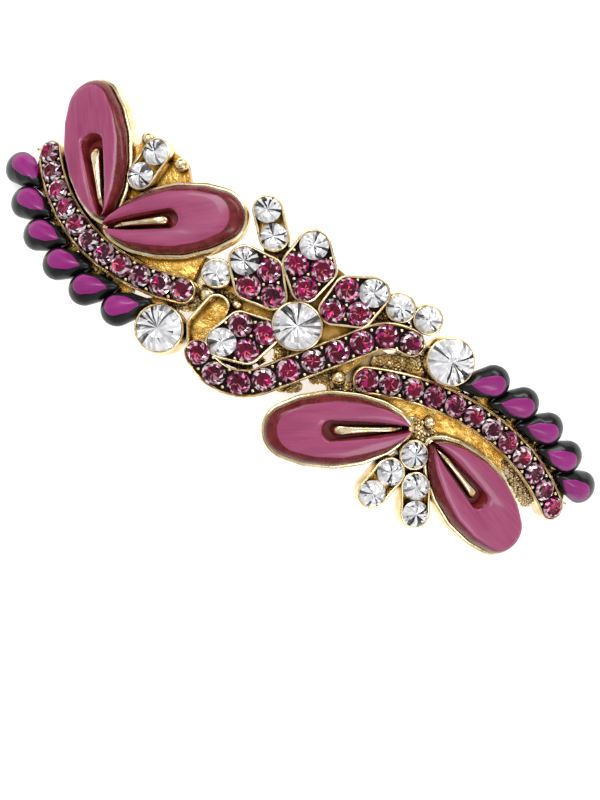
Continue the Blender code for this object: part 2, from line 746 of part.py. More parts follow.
def leaf_top(x):
    """Upper line of the tension leaf: it rises from the pin and falls to its free end."""
    start = PIN_X
    crest = 0.0
    if x < crest:
        rise = LEAF_CREST_Z - (PIN_Z + LEAF_ROOT_RISE)
        return LEAF_CREST_Z - rise * ((crest - x) / (crest - start)) ** 2
    fall = LEAF_CREST_Z - LEAF_END_Z
    return LEAF_CREST_Z - fall * ((x - crest) / (LEAF_END_X - crest)) ** 2


def tension_spring():
    half = LEAF_HALF_WIDTH - LEAF_SIDE_GAP
    strip = extruded(strip_profile(PIN_X + LEAF_START, LEAF_END_X, leaf_top, LEAF_THICK, STRIP_STEPS),
                     side_y(-half), side_y(half))
    eye = rod_y(PIN_X, PIN_Z, LEAF_EYE_RADIUS, side_y(-half), side_y(half))
    bore = rod_y(PIN_X, PIN_Z, EYE_BORE, side_y(-BORE_HALF_LENGTH), side_y(BORE_HALF_LENGTH))
    body = combine(strip, [eye], "UNION")
    return combine(body, [bore], "DIFFERENCE")


def catch_saddle():
    """Bracket under the free end of the base bar that carries the two prongs."""
    slope_low = BEND_RADIUS + BAR_TOP - BAR_THICK - SADDLE_GAP

    def under_bar(x):
        return math.sqrt(slope_low ** 2 - x ** 2) - BEND_RADIUS

    x_low = CATCH_X - CATCH_HALF_X
    x_high = CATCH_X + CATCH_HALF_X
    profile = [(x_low, CATCH_TOP_Z), (x_high, CATCH_TOP_Z), (x_high, under_bar(x_high)),
               (x_low, under_bar(x_low))]
    return extruded(profile, side_y(-SADDLE_HALF_Y), side_y(SADDLE_HALF_Y))


def catch_prong(side):
    """A sprung leg through the arm's window, with a finger tab on its outer face."""
    x_low = CATCH_X - CATCH_HALF_X
    x_high = CATCH_X + CATCH_HALF_X
    inner = PRONG_Y - PRONG_THICK / 2.0
    outer = PRONG_Y + PRONG_THICK / 2.0
    spans = [(inner, outer, PRONG_FOOT_Z, CATCH_TOP_Z - PRONG_GAP), (inner, PRONG_Y + TAB_REACH, *TAB_Z)]
    pieces = []
    for near, far, z_low, z_high in spans:
        first = side_y(side * near)
        second = side_y(side * far)
        pieces.append(block((x_low, min(first, second), z_low), (x_high, max(first, second), z_high)))
    return combine(pieces[0], pieces[1:], "UNION")


def rivet(spot):
    circle = hull([(*spot, RIVET_RADIUS)])
    head = hull([(*spot, RIVET_HEAD)])
    under = BAR_TOP - BAR_THICK - FIT
    return bend(loft([(shrunk(head, spot, RIVET_DOME), under - RIVET_HEIGHT),
                      (head, under - 0.5 * RIVET_HEIGHT), (head, under), (circle, under),
                      (circle, RIVET_SHANK_TOP)]))


# ---------------------------------------------------------------- assembly

def pivot(name, place):
    empty = bpy.data.objects.new(name, None)
    empty.location = (Vector(place) + Vector(ORIGIN_SHIFT)) * MM
    bpy.context.scene.collection.objects.link(empty)
    bpy.context.view_layer.update()
    return empty


def build_castings(gold):
    finish(left_casting(), "casting_left_butterfly", gold)
    finish(centre_casting(), "casting_centre_flower", gold)
    finish(right_casting(), "casting_right_butterfly", gold)


def build_stones(ruby, clear):
    for name, row in (("left_row_rubies", LEFT_ROW), ("right_row_rubies", RIGHT_ROW)):
        spots = [(u, v) for u, v, _heading in row_path(row, row[4])]
        strip = gem_strip(row_path(row, row[4]), spots, ROW_RIM_TOP - GIRDLE_DROP, ROW_GEM)
        finish(strip, name, ruby)
    spots = [(u, v) for u, v, _heading in ribbon_path(RIBBON_GEMS)]
    strip = gem_strip(ribbon_path(RIBBON_GEMS), spots, FLOWER_RIM_TOP - GIRDLE_DROP, ROW_GEM)
    finish(strip, "ribbon_rubies", ruby)
    for index in range(len(PETALS)):
        finish(petal_gems(index), f"petal_{index + 1}_rubies", ruby)
        tip = petal_circles(index, 0.0)[3]
        stone = gem(tip[0], tip[1], FLOWER_RIM_TOP - GIRDLE_DROP, PETAL_CLEAR)
        finish(bend(stone), f"petal_{index + 1}_clear", clear)
    for index, (u, v) in enumerate(CLEAR_STONES):
        stone = gem(u, v, CUP_RIM_TOP - GIRDLE_DROP, SMALL_CLEAR)
        finish(bend(stone), f"clear_stone_{index + 1:02d}", clear)
    for name, (u, v) in BIG_STONES.items():
        stone = gem(u, v, BIG_RIM_TOP - GIRDLE_DROP, BIG_CLEAR, BIG_GEM_SIDES)
        finish(bend(stone), f"big_stone_{name}", clear)


def build_wings_and_drops(pink, black):
    for index in range(len(WINGS)):
        finish(wing_stone(index), f"wing_{index + 1}", pink)
    for side, row, spread in (("left", LEFT_ROW, LEFT_DROPS), ("right", RIGHT_ROW, RIGHT_DROPS)):
        for index, angle in enumerate(drop_angles(spread)):
            finish(drop(row, angle), f"drop_{side}_{index + 1}", black)


def build_barrette(steel, brass):
    finish(base_bar(), "base_bar", steel)
    finish(catch_saddle(), "catch_saddle", steel)
    for index, spot in enumerate(RIVETS):
        finish(rivet(spot), f"rivet_{index + 1}", brass)
    pin_place = (PIN_X, BAR_MID_Y, PIN_Z)
    finish(hinge_pin(), "hinge_pin", steel, pin_place)
    hinge = pivot("hinge_axis", pin_place)
    finish(locking_arm(), "locking_arm", steel, pin_place, hinge)
    finish(tension_spring(), "tension_spring", steel, pin_place, hinge)
    for name, side in (("front", -1.0), ("back", 1.0)):
        place = (CATCH_X, side_y(side * PRONG_Y), PRONG_PIVOT_Z)
        finish(catch_prong(side), f"catch_prong_{name}", steel, place)


def main():
    clear_scene()
    gold = material("gold_plate", GOLD, 0.25, 1.0)
    ruby = material("ruby_glass", RUBY, 0.08, 0.3)
    clear = material("clear_glass", CLEAR, 0.05, 0.4)
    pink = material("pink_resin", PINK, 0.3, 0.0)
    black = material("black_enamel", BLACK, 0.12, 0.0)
    steel = material("plated_steel", STEEL, 0.3, 1.0)
    brass = material("rivet_brass", BRASS, 0.3, 1.0)
    build_castings(gold)
    build_stones(ruby, clear)
    build_wings_and_drops(pink, black)
    build_barrette(steel, brass)


main()
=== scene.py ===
"""Looks of the rhinestone hair clip.

Everything is laid out flat in millimetres, as the castings are: u along the clip, v across it and
w outward from the back of the castings.  lift() wraps that layout round the head into the frame.
"""

import math
import random

import bpy
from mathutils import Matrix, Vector
from mathutils.geometry import convex_hull_2d


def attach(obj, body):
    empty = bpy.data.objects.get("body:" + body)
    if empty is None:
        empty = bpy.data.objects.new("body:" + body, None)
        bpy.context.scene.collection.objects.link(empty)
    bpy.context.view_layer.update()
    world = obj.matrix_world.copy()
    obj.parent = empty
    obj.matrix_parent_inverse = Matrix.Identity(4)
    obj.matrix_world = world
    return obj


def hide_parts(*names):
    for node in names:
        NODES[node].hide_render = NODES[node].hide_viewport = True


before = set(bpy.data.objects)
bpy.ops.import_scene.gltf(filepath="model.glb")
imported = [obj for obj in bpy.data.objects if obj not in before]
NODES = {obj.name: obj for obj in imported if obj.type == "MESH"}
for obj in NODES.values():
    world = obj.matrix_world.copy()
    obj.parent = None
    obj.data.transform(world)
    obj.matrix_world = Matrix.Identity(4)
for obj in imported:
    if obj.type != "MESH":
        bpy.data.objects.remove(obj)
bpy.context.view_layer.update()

MM = 0.001
BEND_RADIUS = 60.0
ORIGIN_SHIFT = (0.45, 0.4, 15.6)

# Casting levels and walls, as in the CAD
PLATE_TOP = 1.0
POCKET_FLOOR = 0.9
ROW_RIM_TOP = 2.0
FLOWER_RIM_TOP = 2.6
CUP_RIM_TOP = 2.3
BIG_RIM_TOP = 3.0
RIM_WALL = 0.25
BIG_CUP_WALL = 0.2
FIT = 0.08
PROUD = 0.03

# Stones
ROW_GEM = 2.6
PETAL_GEM = 2.75
SMALL_CLEAR = 2.95
PETAL_CLEAR = 3.3
BIG_CLEAR = 5.3
ROW_HALF_WIDTH = 1.63
RIBBON_HALF_WIDTH = 1.62

# Layout, as in the CAD
LEFT_ROW = ((-21.0, 20.1), 23.9, 220.6, 285.8, 11)
RIGHT_ROW = ((21.3, -31.2), 31.5, 112.2, 56.4, 12)
RIBBON_START = (-9.2, -8.6)
RIBBON_HEADING = -40.0
RIBBON_LEGS = ((8.9, 90.0), (13.6, 0.0), (4.9, -55.0))
RIBBON_GEMS = 10
FLOWER_CENTRE = (-0.6, -0.3)
PETALS = ((156.0, 4.4), (105.5, 4.5), (52.5, 4.5), (221.0, 3.7))
PETAL_PAIR_STEP = 2.65
PETAL_TIP_STEP = 5.2
PETAL_PAIR_HALF = 1.55
WINGS = (((-27.2, 0.4), 128.0, 1.09), ((-26.4, -0.5), 32.5, 1.01),
         ((16.4, -4.7), 209.7, 1.01), ((19.8, -5.0), -22.5, 1.02))
WING_CIRCLES = ((13.6, 2.95), (11.5, 3.7), (9.0, 4.05), (6.5, 3.75), (4.0, 2.95), (2.0, 1.85),
                (0.8, 0.9))
WING_WALL = 0.5
WING_SHADE = (28.0, 59.0, -107.0, 208.0)
WING_RIM_TOP = 1.9
WING_BOTTOM = 1.05
WING_TOP = 3.6
SLOT_ENDS = ((9.0, 1.35), (7.9, 1.15), (9.0, 1.15), (8.5, 1.05))
SLOT_MOUTH = (-1.5, 0.15)
VEIN_SETBACK = 0.4
VEIN_SHARE = 0.55
VEIN_NEAR = (1.2, 0.3)
DROP_SWEEP = 52.0
DROP_STAND_OFF = 4.75
DROP_CIRCLES = ((0.0, 2.03), (-1.5, 1.7), (-4.1, 0.35))
INLAY_CIRCLES = ((0.0, 1.25), (-1.3, 0.98), (-3.0, 0.1))
INLAY_SIDE = -0.62
INLAY_TURN = 9.0
INLAY_LEAN = 1.75
LEFT_DROPS = (221.0, 271.0, 6)
RIGHT_DROPS = (87.0, 56.2, 5)
BIG_STONES = {"left": (-14.5, -8.2), "centre": FLOWER_CENTRE, "right": (16.9, 4.6)}
CLEAR_STONES = ((-25.3, 10.3), (-25.7, 7.0), (-9.9, 10.3), (-7.8, 7.8), (-11.7, 0.8), (8.9, 7.4),
                (12.4, 7.7), (18.5, -7.25), (16.9, -10.4), (16.2, -13.6), (20.5, -10.5), (22.0, -13.4))
PILL_PAIRS = ((0, 1), (2, 3), (8, 9), (10, 11))
BALLS = ((-27.4, 11.4, 0.9), (-22.0, 10.4, 0.85), (-11.5, -1.9, 0.95), (-8.0, -1.4, 0.6),
         (6.4, -3.4, 0.8), (18.6, -2.9, 0.7), (23.4, -9.4, 0.5))
NUGGETS = (
    (((9.8, 0.5, 0.6), (12.1, 1.9, 1.2), (14.6, 3.0, 0.8)), 1.0, 0.5),
    (((17.0, -4.2, 1.0), (19.6, -4.4, 0.9)), 1.1, 0.6),
    (((-15.6, -3.4, 0.9), (-14.8, -5.6, 0.9)), 1.0, 0.45),
    (((-13.4, -4.2, 0.9), (-12.2, -2.6, 0.8)), 1.0, 0.45),
    (((-12.0, -1.6, 0.8), (-9.0, -1.0, 0.7)), 1.0, 0.45),
    (((-8.0, 7.2, 0.8), (-4.5, 6.4, 0.8)), 1.0, 0.4),
    (((3.5, -3.0, 0.8), (6.6, -0.4, 0.8)), 1.0, 0.45),
    (((3.9, -4.7, 0.7), (6.6, -3.2, 0.8)), 1.0, 0.4),
    (((6.5, -4.6, 0.9), (8.5, -3.9, 0.6)), 1.0, 0.45),
    (((-1.0, -4.0, 0.7), (-0.6, -5.0, 0.6)), 1.0, 0.4),
    (((-3.4, -6.0, 0.6), (-2.6, -5.9, 0.5)), 1.0, 0.4),
    (((0.9, -7.4, 0.8), (2.6, -6.6, 0.7)), 1.0, 0.4),
    (((-6.2, -7.6, 0.6), (-3.4, -7.4, 0.6)), 1.0, 0.4),
    (((-0.6, -3.6, 0.6), (0.6, -4.6, 0.5)), 1.0, 0.4),
    (((7.2, 5.5, 0.9), (10.4, 5.7, 0.7)), 1.0, 0.4),
    (((30.4, -2.9, 0.8), (35.6, -5.7, 0.8)), 1.0, 0.5),
    (((19.8, 1.3, 0.5), (22.0, 1.9, 0.6)), 0.95, 0.4),
)
SCOOP = ((-9.8, -2.7, 1.5), (-10.2, -5.6, 1.85), (-9.7, -7.4, 1.4))

HULL_SIDES = 96
UV_SCALE = 0.1
WHITE = (1.0, 1.0, 1.0)


# ---------------------------------------------------------------- flat geometry

def lift(u, v, w):
    """A flat layout point, in millimetres, as a point of the frame in metres."""
    angle = u / BEND_RADIUS
    reach = BEND_RADIUS + w
    return Vector((reach * math.sin(angle) + ORIGIN_SHIFT[0], v + ORIGIN_SHIFT[1],
                   reach * math.cos(angle) - BEND_RADIUS + ORIGIN_SHIFT[2])) * MM


def along(start, heading, distance, side=0.0):
    """The point at a distance along a heading in degrees, and a distance to its left."""
    angle = math.radians(heading)
    return (start[0] + distance * math.cos(angle) - side * math.sin(angle),
            start[1] + distance * math.sin(angle) + side * math.cos(angle))


def on_axis(start, heading, circles, stretch=1.0):
    """(distance, radius) circles placed along a heading, as (u, v, radius)."""
    return [(*along(start, heading, distance * stretch), radius) for distance, radius in circles]


def resample(points, count, closed=True):
    """Evenly spaced points along a polyline."""
    line = list(points) + ([points[0]] if closed else [])
    lengths = [0.0]
    for (u0, v0), (u1, v1) in zip(line, line[1:]):
        lengths.append(lengths[-1] + math.hypot(u1 - u0, v1 - v0))
    total = lengths[-1]
    steps = count if closed else count - 1
    result = []
    spot = 0
    for index in range(count):
        target = total * index / steps
        while spot < len(lengths) - 2 and lengths[spot + 1] < target:
            spot += 1
        span = lengths[spot + 1] - lengths[spot]
        part = 0.0 if span == 0.0 else (target - lengths[spot]) / span
        (u0, v0), (u1, v1) = line[spot], line[spot + 1]
        result.append((u0 + (u1 - u0) * part, v0 + (v1 - v0) * part))
    return result


def smooth_hull(circles, grow=0.0, count=HULL_SIDES):
    """Even counter-clockwise outline round circles."""
    points = []
    for u, v, radius in circles:
        for step in range(HULL_SIDES):
            angle = 2.0 * math.pi * step / HULL_SIDES
            points.append(Vector((u + (radius + grow) * math.cos(angle),
                                  v + (radius + grow) * math.sin(angle))))
    outline = [tuple(points[index]) for index in convex_hull_2d(points)]
    area = sum(a[0] * b[1] - b[0] * a[1] for a, b in zip(outline, outline[1:] + outline[:1]))
    if area < 0.0:
        outline.reverse()
    return resample(outline, count)


def inside_outline(outline, u, v):
    """True inside a convex counter-clockwise outline."""
    return all((b[0] - a[0]) * (v - a[1]) - (b[1] - a[1]) * (u - a[0]) >= 0.0
               for a, b in zip(outline, outline[1:] + outline[:1]))


def offset(outline, distance):
    """A counter-clockwise outline moved outward."""
    count = len(outline)
    moved = []
    for index, (u, v) in enumerate(outline):
        before = outline[index - 1]
        after = outline[(index + 1) % count]
        du, dv = after[0] - before[0], after[1] - before[1]
        length = math.hypot(du, dv) or 1.0
        moved.append((u + distance * dv / length, v - distance * du / length))
    return moved


def arc_path(row, count):
    """Even (u, v, heading) points along a row's arc."""
    centre, radius, first, last, _gems = row
    turn = 90.0 if last > first else -90.0
    path = []
    for step in range(count):
        angle = first + (last - first) * step / (count - 1)
        path.append((*along(centre, angle, radius), angle + turn))
    return path


def ribbon_point(distance):
    """(u, v, heading) at a distance along the ribbon's arcs."""
    point = RIBBON_START
    heading = RIBBON_HEADING
    for length, turn in RIBBON_LEGS:
        part = min(distance, length)
        swing = turn * part / length
        half = math.radians(swing) / 2.0
        chord = part if half == 0.0 else part * math.sin(half) / half
        point = along(point, heading + swing / 2.0, chord)
        heading += swing
        distance -= part
        if distance <= 0.0:
            break
    return (point[0], point[1], heading)


def ribbon_path(count):
    total = sum(length for length, _turn in RIBBON_LEGS)
    return [ribbon_point(total * step / (count - 1)) for step in range(count)]


def band(path, half_width, cap_steps=14):
    """Outline of a band of constant width with round ends, counter-clockwise."""
    def cap(end, first_angle):
        u, v, heading = end
        return [along((u, v), heading + first_angle + 180.0 * step / cap_steps, half_width)
                for step in range(1, cap_steps)]

    left = [along((u, v), heading, 0.0, half_width) for u, v, heading in path]
    right = [along((u, v), heading, 0.0, -half_width) for u, v, heading in path]
    return right + cap(path[-1], -90.0) + list(reversed(left)) + cap(path[0], 90.0)


def petal_circles(index, grow=0.0):
    """A petal's three rubies and its clear tip stone, as circles."""
    heading, inner = PETALS[index]
    ruby = PETAL_GEM / 2.0 + grow
    circles = [(*along(FLOWER_CENTRE, heading, inner), ruby)]
    for side in (-PETAL_PAIR_HALF, PETAL_PAIR_HALF):
        circles.append((*along(FLOWER_CENTRE, heading, inner + PETAL_PAIR_STEP, side), ruby))
    circles.append((*along(FLOWER_CENTRE, heading, inner + PETAL_TIP_STEP), PETAL_CLEAR / 2.0 + grow))
    return circles


def drop_frames(row, spread):
    """Place and heading of each drop of the fan outside a row."""
    centre, radius, _first, _last, _gems = row
    first, last, count = spread
    places = []
    for step in range(count):
        angle = first + (last - first) * step / (count - 1)
        places.append((along(centre, angle, radius + DROP_STAND_OFF), angle - DROP_SWEEP))
    return places


# ---------------------------------------------------------------- mesh building

class Build:
    """Collects flat vertices and faces, then makes one object of the bent result."""

    def __init__(self):
        self.verts = []
        self.faces = []
        self.slots = []
        self.tones = []
        self.uvs = []

    def add(self, verts, faces, slots=None, tones=None, uvs=None):
        """Adds a patch, with a material slot and a tone for each face."""
        start = len(self.verts)
        self.verts += verts
        self.uvs += uvs or [(vert[0] * UV_SCALE, vert[1] * UV_SCALE) for vert in verts]
        self.faces += [[start + corner for corner in face] for face in faces]
        self.slots += slots or [0] * len(faces)
        self.tones += tones or [WHITE] * len(faces)

    def loft(self, rings, slot=0, apex=None, uvs=None):
        """A closed solid through rings of (u, v, w), ending in a flat cap or in an apex."""
        count = len(rings[0])
        verts = [vert for ring in rings for vert in ring]
        faces = []
        for level in range(len(rings) - 1):
            for index in range(count):
                after = (index + 1) % count
                faces.append((level * count + index, level * count + after,
                              (level + 1) * count + after, (level + 1) * count + index))
        faces.append(tuple(reversed(range(count))))
        last = (len(rings) - 1) * count
        if apex:
            faces += [(last + index, last + (index + 1) % count, len(verts)) for index in range(count)]
            verts.append(apex)
        else:
            faces.append(tuple(range(last, last + count)))
        self.add(verts, faces, [slot] * len(faces), uvs=uvs)

    def collar(self, outline, profile):
        """A closed ring: a closed profile of (offset, w) swept round an outline."""
        count = len(outline)
        loops = [[(u, v, w) for u, v in offset(outline, off)] for off, w in profile]
        faces = []
        for level in range(len(loops)):
            upper = (level + 1) % len(loops)
            for index in range(count):
                after = (index + 1) % count
                faces.append((level * count + index, upper * count + index,
                              upper * count + after, level * count + after))
        self.add([vert for loop in loops for vert in loop], faces)

    def dome(self, u, v, w, radius, height=None, *, rings, sides, sink=0.6):
        """A bead: an upper dome that runs down past its base."""
        height = radius if height is None else height
        levels = []
        for step in range(rings):
            angle = -sink + (math.pi / 2.0 + sink) * step / rings
            reach = radius * math.cos(angle)
            levels.append([(u + reach * math.cos(2.0 * math.pi * k / sides),
                            v + reach * math.sin(2.0 * math.pi * k / sides),
                            w + height * math.sin(angle)) for k in range(sides)])
        self.loft(levels, apex=(u, v, w + height))

    def finish(self, name, looks, body="clip", replaces=(), angle=35.0, flat=False):
        """One object of all patches: smooth up to an angle in degrees, or flat for cut stones."""
        mesh = bpy.data.meshes.new(name)
        mesh.from_pydata([lift(*vert) for vert in self.verts], [], self.faces)
        for look in looks:
            mesh.materials.append(look)
        for polygon, index in zip(mesh.polygons, self.slots):
            polygon.material_index = index
        tone = mesh.attributes.new("tone", "FLOAT_COLOR", "CORNER")
        layer = mesh.uv_layers.new(name="flat")
        for polygon, colour in zip(mesh.polygons, self.tones):
            for loop in polygon.loop_indices:
                tone.data[loop].color = (*colour, 1.0)
                layer.data[loop].uv = self.uvs[mesh.loops[loop].vertex_index]
        mesh.validate()
        if flat:
            mesh.shade_flat()
        else:
            mesh.shade_smooth()
            mesh.set_sharp_from_angle(angle=math.radians(angle))
        obj = bpy.data.objects.new(name, mesh)
        bpy.context.scene.collection.objects.link(obj)
        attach(obj, body)
        if replaces:
            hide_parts(*replaces)


# ---------------------------------------------------------------- materials

# Lengths in metres, noise scales per metre, and noise scales along the flat UVs
CREVICE_REACH = 0.0008
CREVICE_SAMPLES = 6
METAL_CLOUDS = 700.0
GLASS_STREAKS = 1800.0
GLASS_WEAR = 2200.0
SATIN_STREAKS = (2.2, 26.0, 1.0)
SATIN_CLOUDS = (1.6, 5.0, 1.0)
SATIN_CLOUD_SHARE = 0.42
SATIN_BUMP = 0.000006

# A colour mix node has several sockets of the same name, so they are told by number
MIX_SOCKETS = (0, 6, 7)
MIX_RESULT = 2


class Look:
    """A Principled material with a few helpers for its nodes."""

    def __init__(self, name, **values):
        self.material = bpy.data.materials.new(name)
        self.material.use_nodes = True
        self.nodes = self.material.node_tree.nodes
        self.links = self.material.node_tree.links
        self.shader = self.nodes["Principled BSDF"]
        for key, value in values.items():
            self.shader.inputs[key.replace("_", " ")].default_value = value
        self.coords = self.nodes.new("ShaderNodeTexCoord")

    def noise(self, scale, detail=4.0, rough=0.5, kind="Object", stretch=None):
        texture = self.nodes.new("ShaderNodeTexNoise")
        texture.inputs["Scale"].default_value = scale
        texture.inputs["Detail"].default_value = detail
        texture.inputs["Roughness"].default_value = rough
        source = self.coords.outputs[kind]
        if stretch:
            mapping = self.nodes.new("ShaderNodeMapping")
            mapping.inputs["Scale"].default_value = stretch
            self.links.new(source, mapping.inputs["Vector"])
            source = mapping.outputs["Vector"]
        self.links.new(source, texture.inputs["Vector"])
        return texture.outputs["Fac"]

    def ramp(self, source, stops):
        node = self.nodes.new("ShaderNodeValToRGB")
        ramp = node.color_ramp
        while len(ramp.elements) < len(stops):
            ramp.elements.new(0.5)
        for element, (place, colour) in zip(ramp.elements, stops):
            element.position = place
            element.color = (*colour, 1.0) if hasattr(colour, "__len__") else (colour,) * 3 + (1.0,)
        self.links.new(source, node.inputs["Fac"])
        return node.outputs["Color"]

    def mix(self, factor, first, second, blend="MIX"):
        node = self.nodes.new("ShaderNodeMix")
        node.data_type = "RGBA"
        node.blend_type = blend
        factor_socket, first_socket, second_socket = (node.inputs[index] for index in MIX_SOCKETS)
        factor_socket.default_value = factor
        self.links.new(first, first_socket)
        self.links.new(second, second_socket)
        return node.outputs[MIX_RESULT]

    def crevices(self, distance):
        """Painted shade: dark where other surfaces are nearer than a distance in metres."""
        node = self.nodes.new("ShaderNodeAmbientOcclusion")
        node.samples = CREVICE_SAMPLES
        node.inputs["Distance"].default_value = distance
        return node.outputs["AO"]

    def colour(self, source):
        self.links.new(source, self.shader.inputs["Base Color"])

    def rough(self, source):
        self.links.new(source, self.shader.inputs["Roughness"])

    def bump(self, source, distance):
        node = self.nodes.new("ShaderNodeBump")
        node.inputs["Distance"].default_value = distance
        node.inputs["Strength"].default_value = 1.0
        self.links.new(source, node.inputs["Height"])
        self.links.new(node.outputs["Normal"], self.shader.inputs["Normal"])


def metal(name, light, deep, dark, rough=(0.1, 0.3), grain=1500.0, bump=0.00002, stretch=None):
    """Plated metal: clouds of two tones, dark crevices that are painted shade with some antique
    darkening, and a fine grain in roughness and bump.
    """
    look = Look(name, Metallic=1.0)
    tone = look.ramp(look.noise(METAL_CLOUDS, 3.0), ((0.35, deep), (0.65, light)))
    # Painted shade: ambient occlusion darkens the base colour in the crevices.
    shade = look.ramp(look.crevices(CREVICE_REACH), ((0.3, dark), (0.86, WHITE)))
    look.colour(look.mix(1.0, tone, shade, "MULTIPLY"))
    fine = look.noise(grain, 5.0, 0.6, stretch=stretch)
    look.rough(look.ramp(fine, ((0.3, rough[0]), (0.7, rough[1]))))
    look.bump(fine, bump)
    return look.material


def facets(name, metallic):
    """Foil-backed cut glass: each facet's tone holds painted reflections and glints, mirror-like under a
    clear coat.
    """
    look = Look(name, Metallic=metallic, Coat_Weight=0.3, Coat_Roughness=0.02, Specular_IOR_Level=0.3)
    tone = look.nodes.new("ShaderNodeAttribute")
    tone.attribute_name = "tone"
    streak = look.ramp(look.noise(GLASS_STREAKS, 3.0), ((0.3, 0.78), (0.65, 1.0)))
    look.colour(look.mix(1.0, tone.outputs["Color"], streak, "MULTIPLY"))
    look.rough(look.ramp(look.noise(GLASS_WEAR, 2.0), ((0.3, 0.05), (0.7, 0.12))))
    return look.material


def satin(name, pale, middle, deep, rough=0.28):
    """Satin resin: fine streaks along the flat UV's first direction under a clear gloss."""
    look = Look(name, Coat_Weight=0.3, Coat_Roughness=0.12, Specular_IOR_Level=0.3)
    streaks = look.noise(1.0, 6.0, 0.62, "UV", SATIN_STREAKS)
    clouds = look.noise(1.0, 2.0, 0.5, "UV", SATIN_CLOUDS)
    fine = look.ramp(streaks, ((0.30, deep), (0.52, middle), (0.74, pale)))
    broad = look.ramp(clouds, ((0.35, deep), (0.7, pale)))
    look.colour(look.mix(SATIN_CLOUD_SHARE, fine, broad))
    look.rough(look.ramp(streaks, ((0.3, rough), (0.7, rough + 0.14))))
    look.bump(streaks, SATIN_BUMP)
    return look.material


def gloss(name, colour, other, coat, rough, scale=500.0):
    """Clear-coated enamel or resin in two tones."""
    look = Look(name, Coat_Weight=coat, Coat_Roughness=0.04, Specular_IOR_Level=0.2)
    look.colour(look.ramp(look.noise(scale, 4.0), ((0.35, colour), (0.68, other))))
    look.rough(look.ramp(look.noise(scale * 3.0, 3.0), ((0.3, rough), (0.7, rough + 0.1))))
    return look.material


# Two copies of one gold plating: the lighter copy for rims, claws, nuggets and veins is a painted
# highlight, the darker copy for the casting is painted shade; the casting's coarser grain and bump are
# real.
GOLD = metal("gold_plate_polished_painted_light", (0.95, 0.82, 0.55), (0.68, 0.51, 0.26), (0.03, 0.012, 0.003))
GOLD_CAST_SHADED = metal("gold_plate_cast_painted_shade", (0.70, 0.44, 0.12), (0.38, 0.19, 0.026), (0.035, 0.014, 0.003),
                  (0.12, 0.36), 1100.0, 0.00014)
BARRETTE = metal("gold_tone_steel_brushed", (0.80, 0.66, 0.42), (0.66, 0.50, 0.27),
                 (0.16, 0.09, 0.03), (0.16, 0.34), 900.0, 0.000012, (0.06, 1.0, 1.0))
STEEL = metal("plated_steel_brushed", (0.46, 0.45, 0.44), (0.33, 0.32, 0.31), (0.12, 0.12, 0.11),
              (0.2, 0.38), 900.0, 0.000012, (0.06, 1.0, 1.0))
BRASS = metal("rivet_brass_turned", (0.75, 0.58, 0.28), (0.60, 0.43, 0.17), (0.2, 0.12, 0.05))
CRYSTAL = facets("crystal_facets", 0.45)
RUBY = facets("ruby_facets", 0.6)
RESIN = satin("pink_resin_satin", (0.36, 0.062, 0.15), (0.29, 0.042, 0.12), (0.23, 0.028, 0.09))
# Darker copies of the pink resin for the wing's edges, slot walls and slot floor: painted shade.
RESIN_EDGE_SHADED = gloss("pink_resin_edge_painted_shade", (0.09, 0.006, 0.008), (0.17, 0.018, 0.019), 0.15, 0.22, 900.0)
RESIN_WALL_SHADED = gloss("pink_resin_wall_painted_shade", (0.15, 0.010, 0.013), (0.25, 0.030, 0.030), 0.25, 0.25, 700.0)
ENAMEL = gloss("black_enamel_gloss", (0.002, 0.002, 0.0025), (0.005, 0.0045, 0.005), 0.3, 0.25)
MAGENTA = satin("magenta_inlay", (0.32, 0.006, 0.21), (0.25, 0.004, 0.155), (0.18, 0.002, 0.11), 0.34)
# A near-black sheet under the stones: painted shade between them.
SHADE_BED = gloss("painted_shade_bed", (0.010, 0.004, 0.003), (0.04, 0.018, 0.007), 0.1, 0.45, 1200.0)


# ---------------------------------------------------------------- stones

random.seed(11)
# Facet tones: the spoke, silver and plum tones are painted reflections, the glint tones painted glints
# and the shade tones painted shade; the table tones are the ruby's own dark colour.
SPOKE_REFLECTION_TONES = (1.0, 0.12, 0.95, 0.9, 0.04, 1.0, 0.65, 0.92, 0.3, 1.0, 0.85)
TABLE_TONES = ((0.09, 0.0005, 0.014), (0.14, 0.0005, 0.020), (0.20, 0.001, 0.034), (0.06, 0.002, 0.016))
GLINT_TONES = ((0.50, 0.003, 0.11), (0.40, 0.003, 0.05), (0.50, 0.010, 0.22))
SILVER_REFLECTION_TONES = ((0.78, 0.68, 0.70), (0.60, 0.42, 0.47), (1.0, 0.93, 0.95), (0.42, 0.17, 0.23))
PLUM_REFLECTION_TONES = ((0.55, 0.07, 0.24), (0.70, 0.44, 0.52), (0.34, 0.02, 0.12), (0.88, 0.72, 0.77))
SHADE_TONES = ((0.10, 0.010, 0.035), (0.04, 0.006, 0.014), (0.16, 0.012, 0.05), (0.02, 0.003, 0.006))


def clear_palette(sectors):
    """Painted reflections: light and dark spokes, one tone for each sector, a little different on each
    facet.
    """
    spokes = [random.choice(SPOKE_REFLECTION_TONES) for _sector in range(sectors)]

    def tone(sector):
        value = spokes[sector % sectors] * random.uniform(0.8, 1.0)
        if random.random() < 0.1:
            value = random.choice(SPOKE_REFLECTION_TONES)
        return (value, value, min(1.0, 1.02 * value))
    return tone, tone


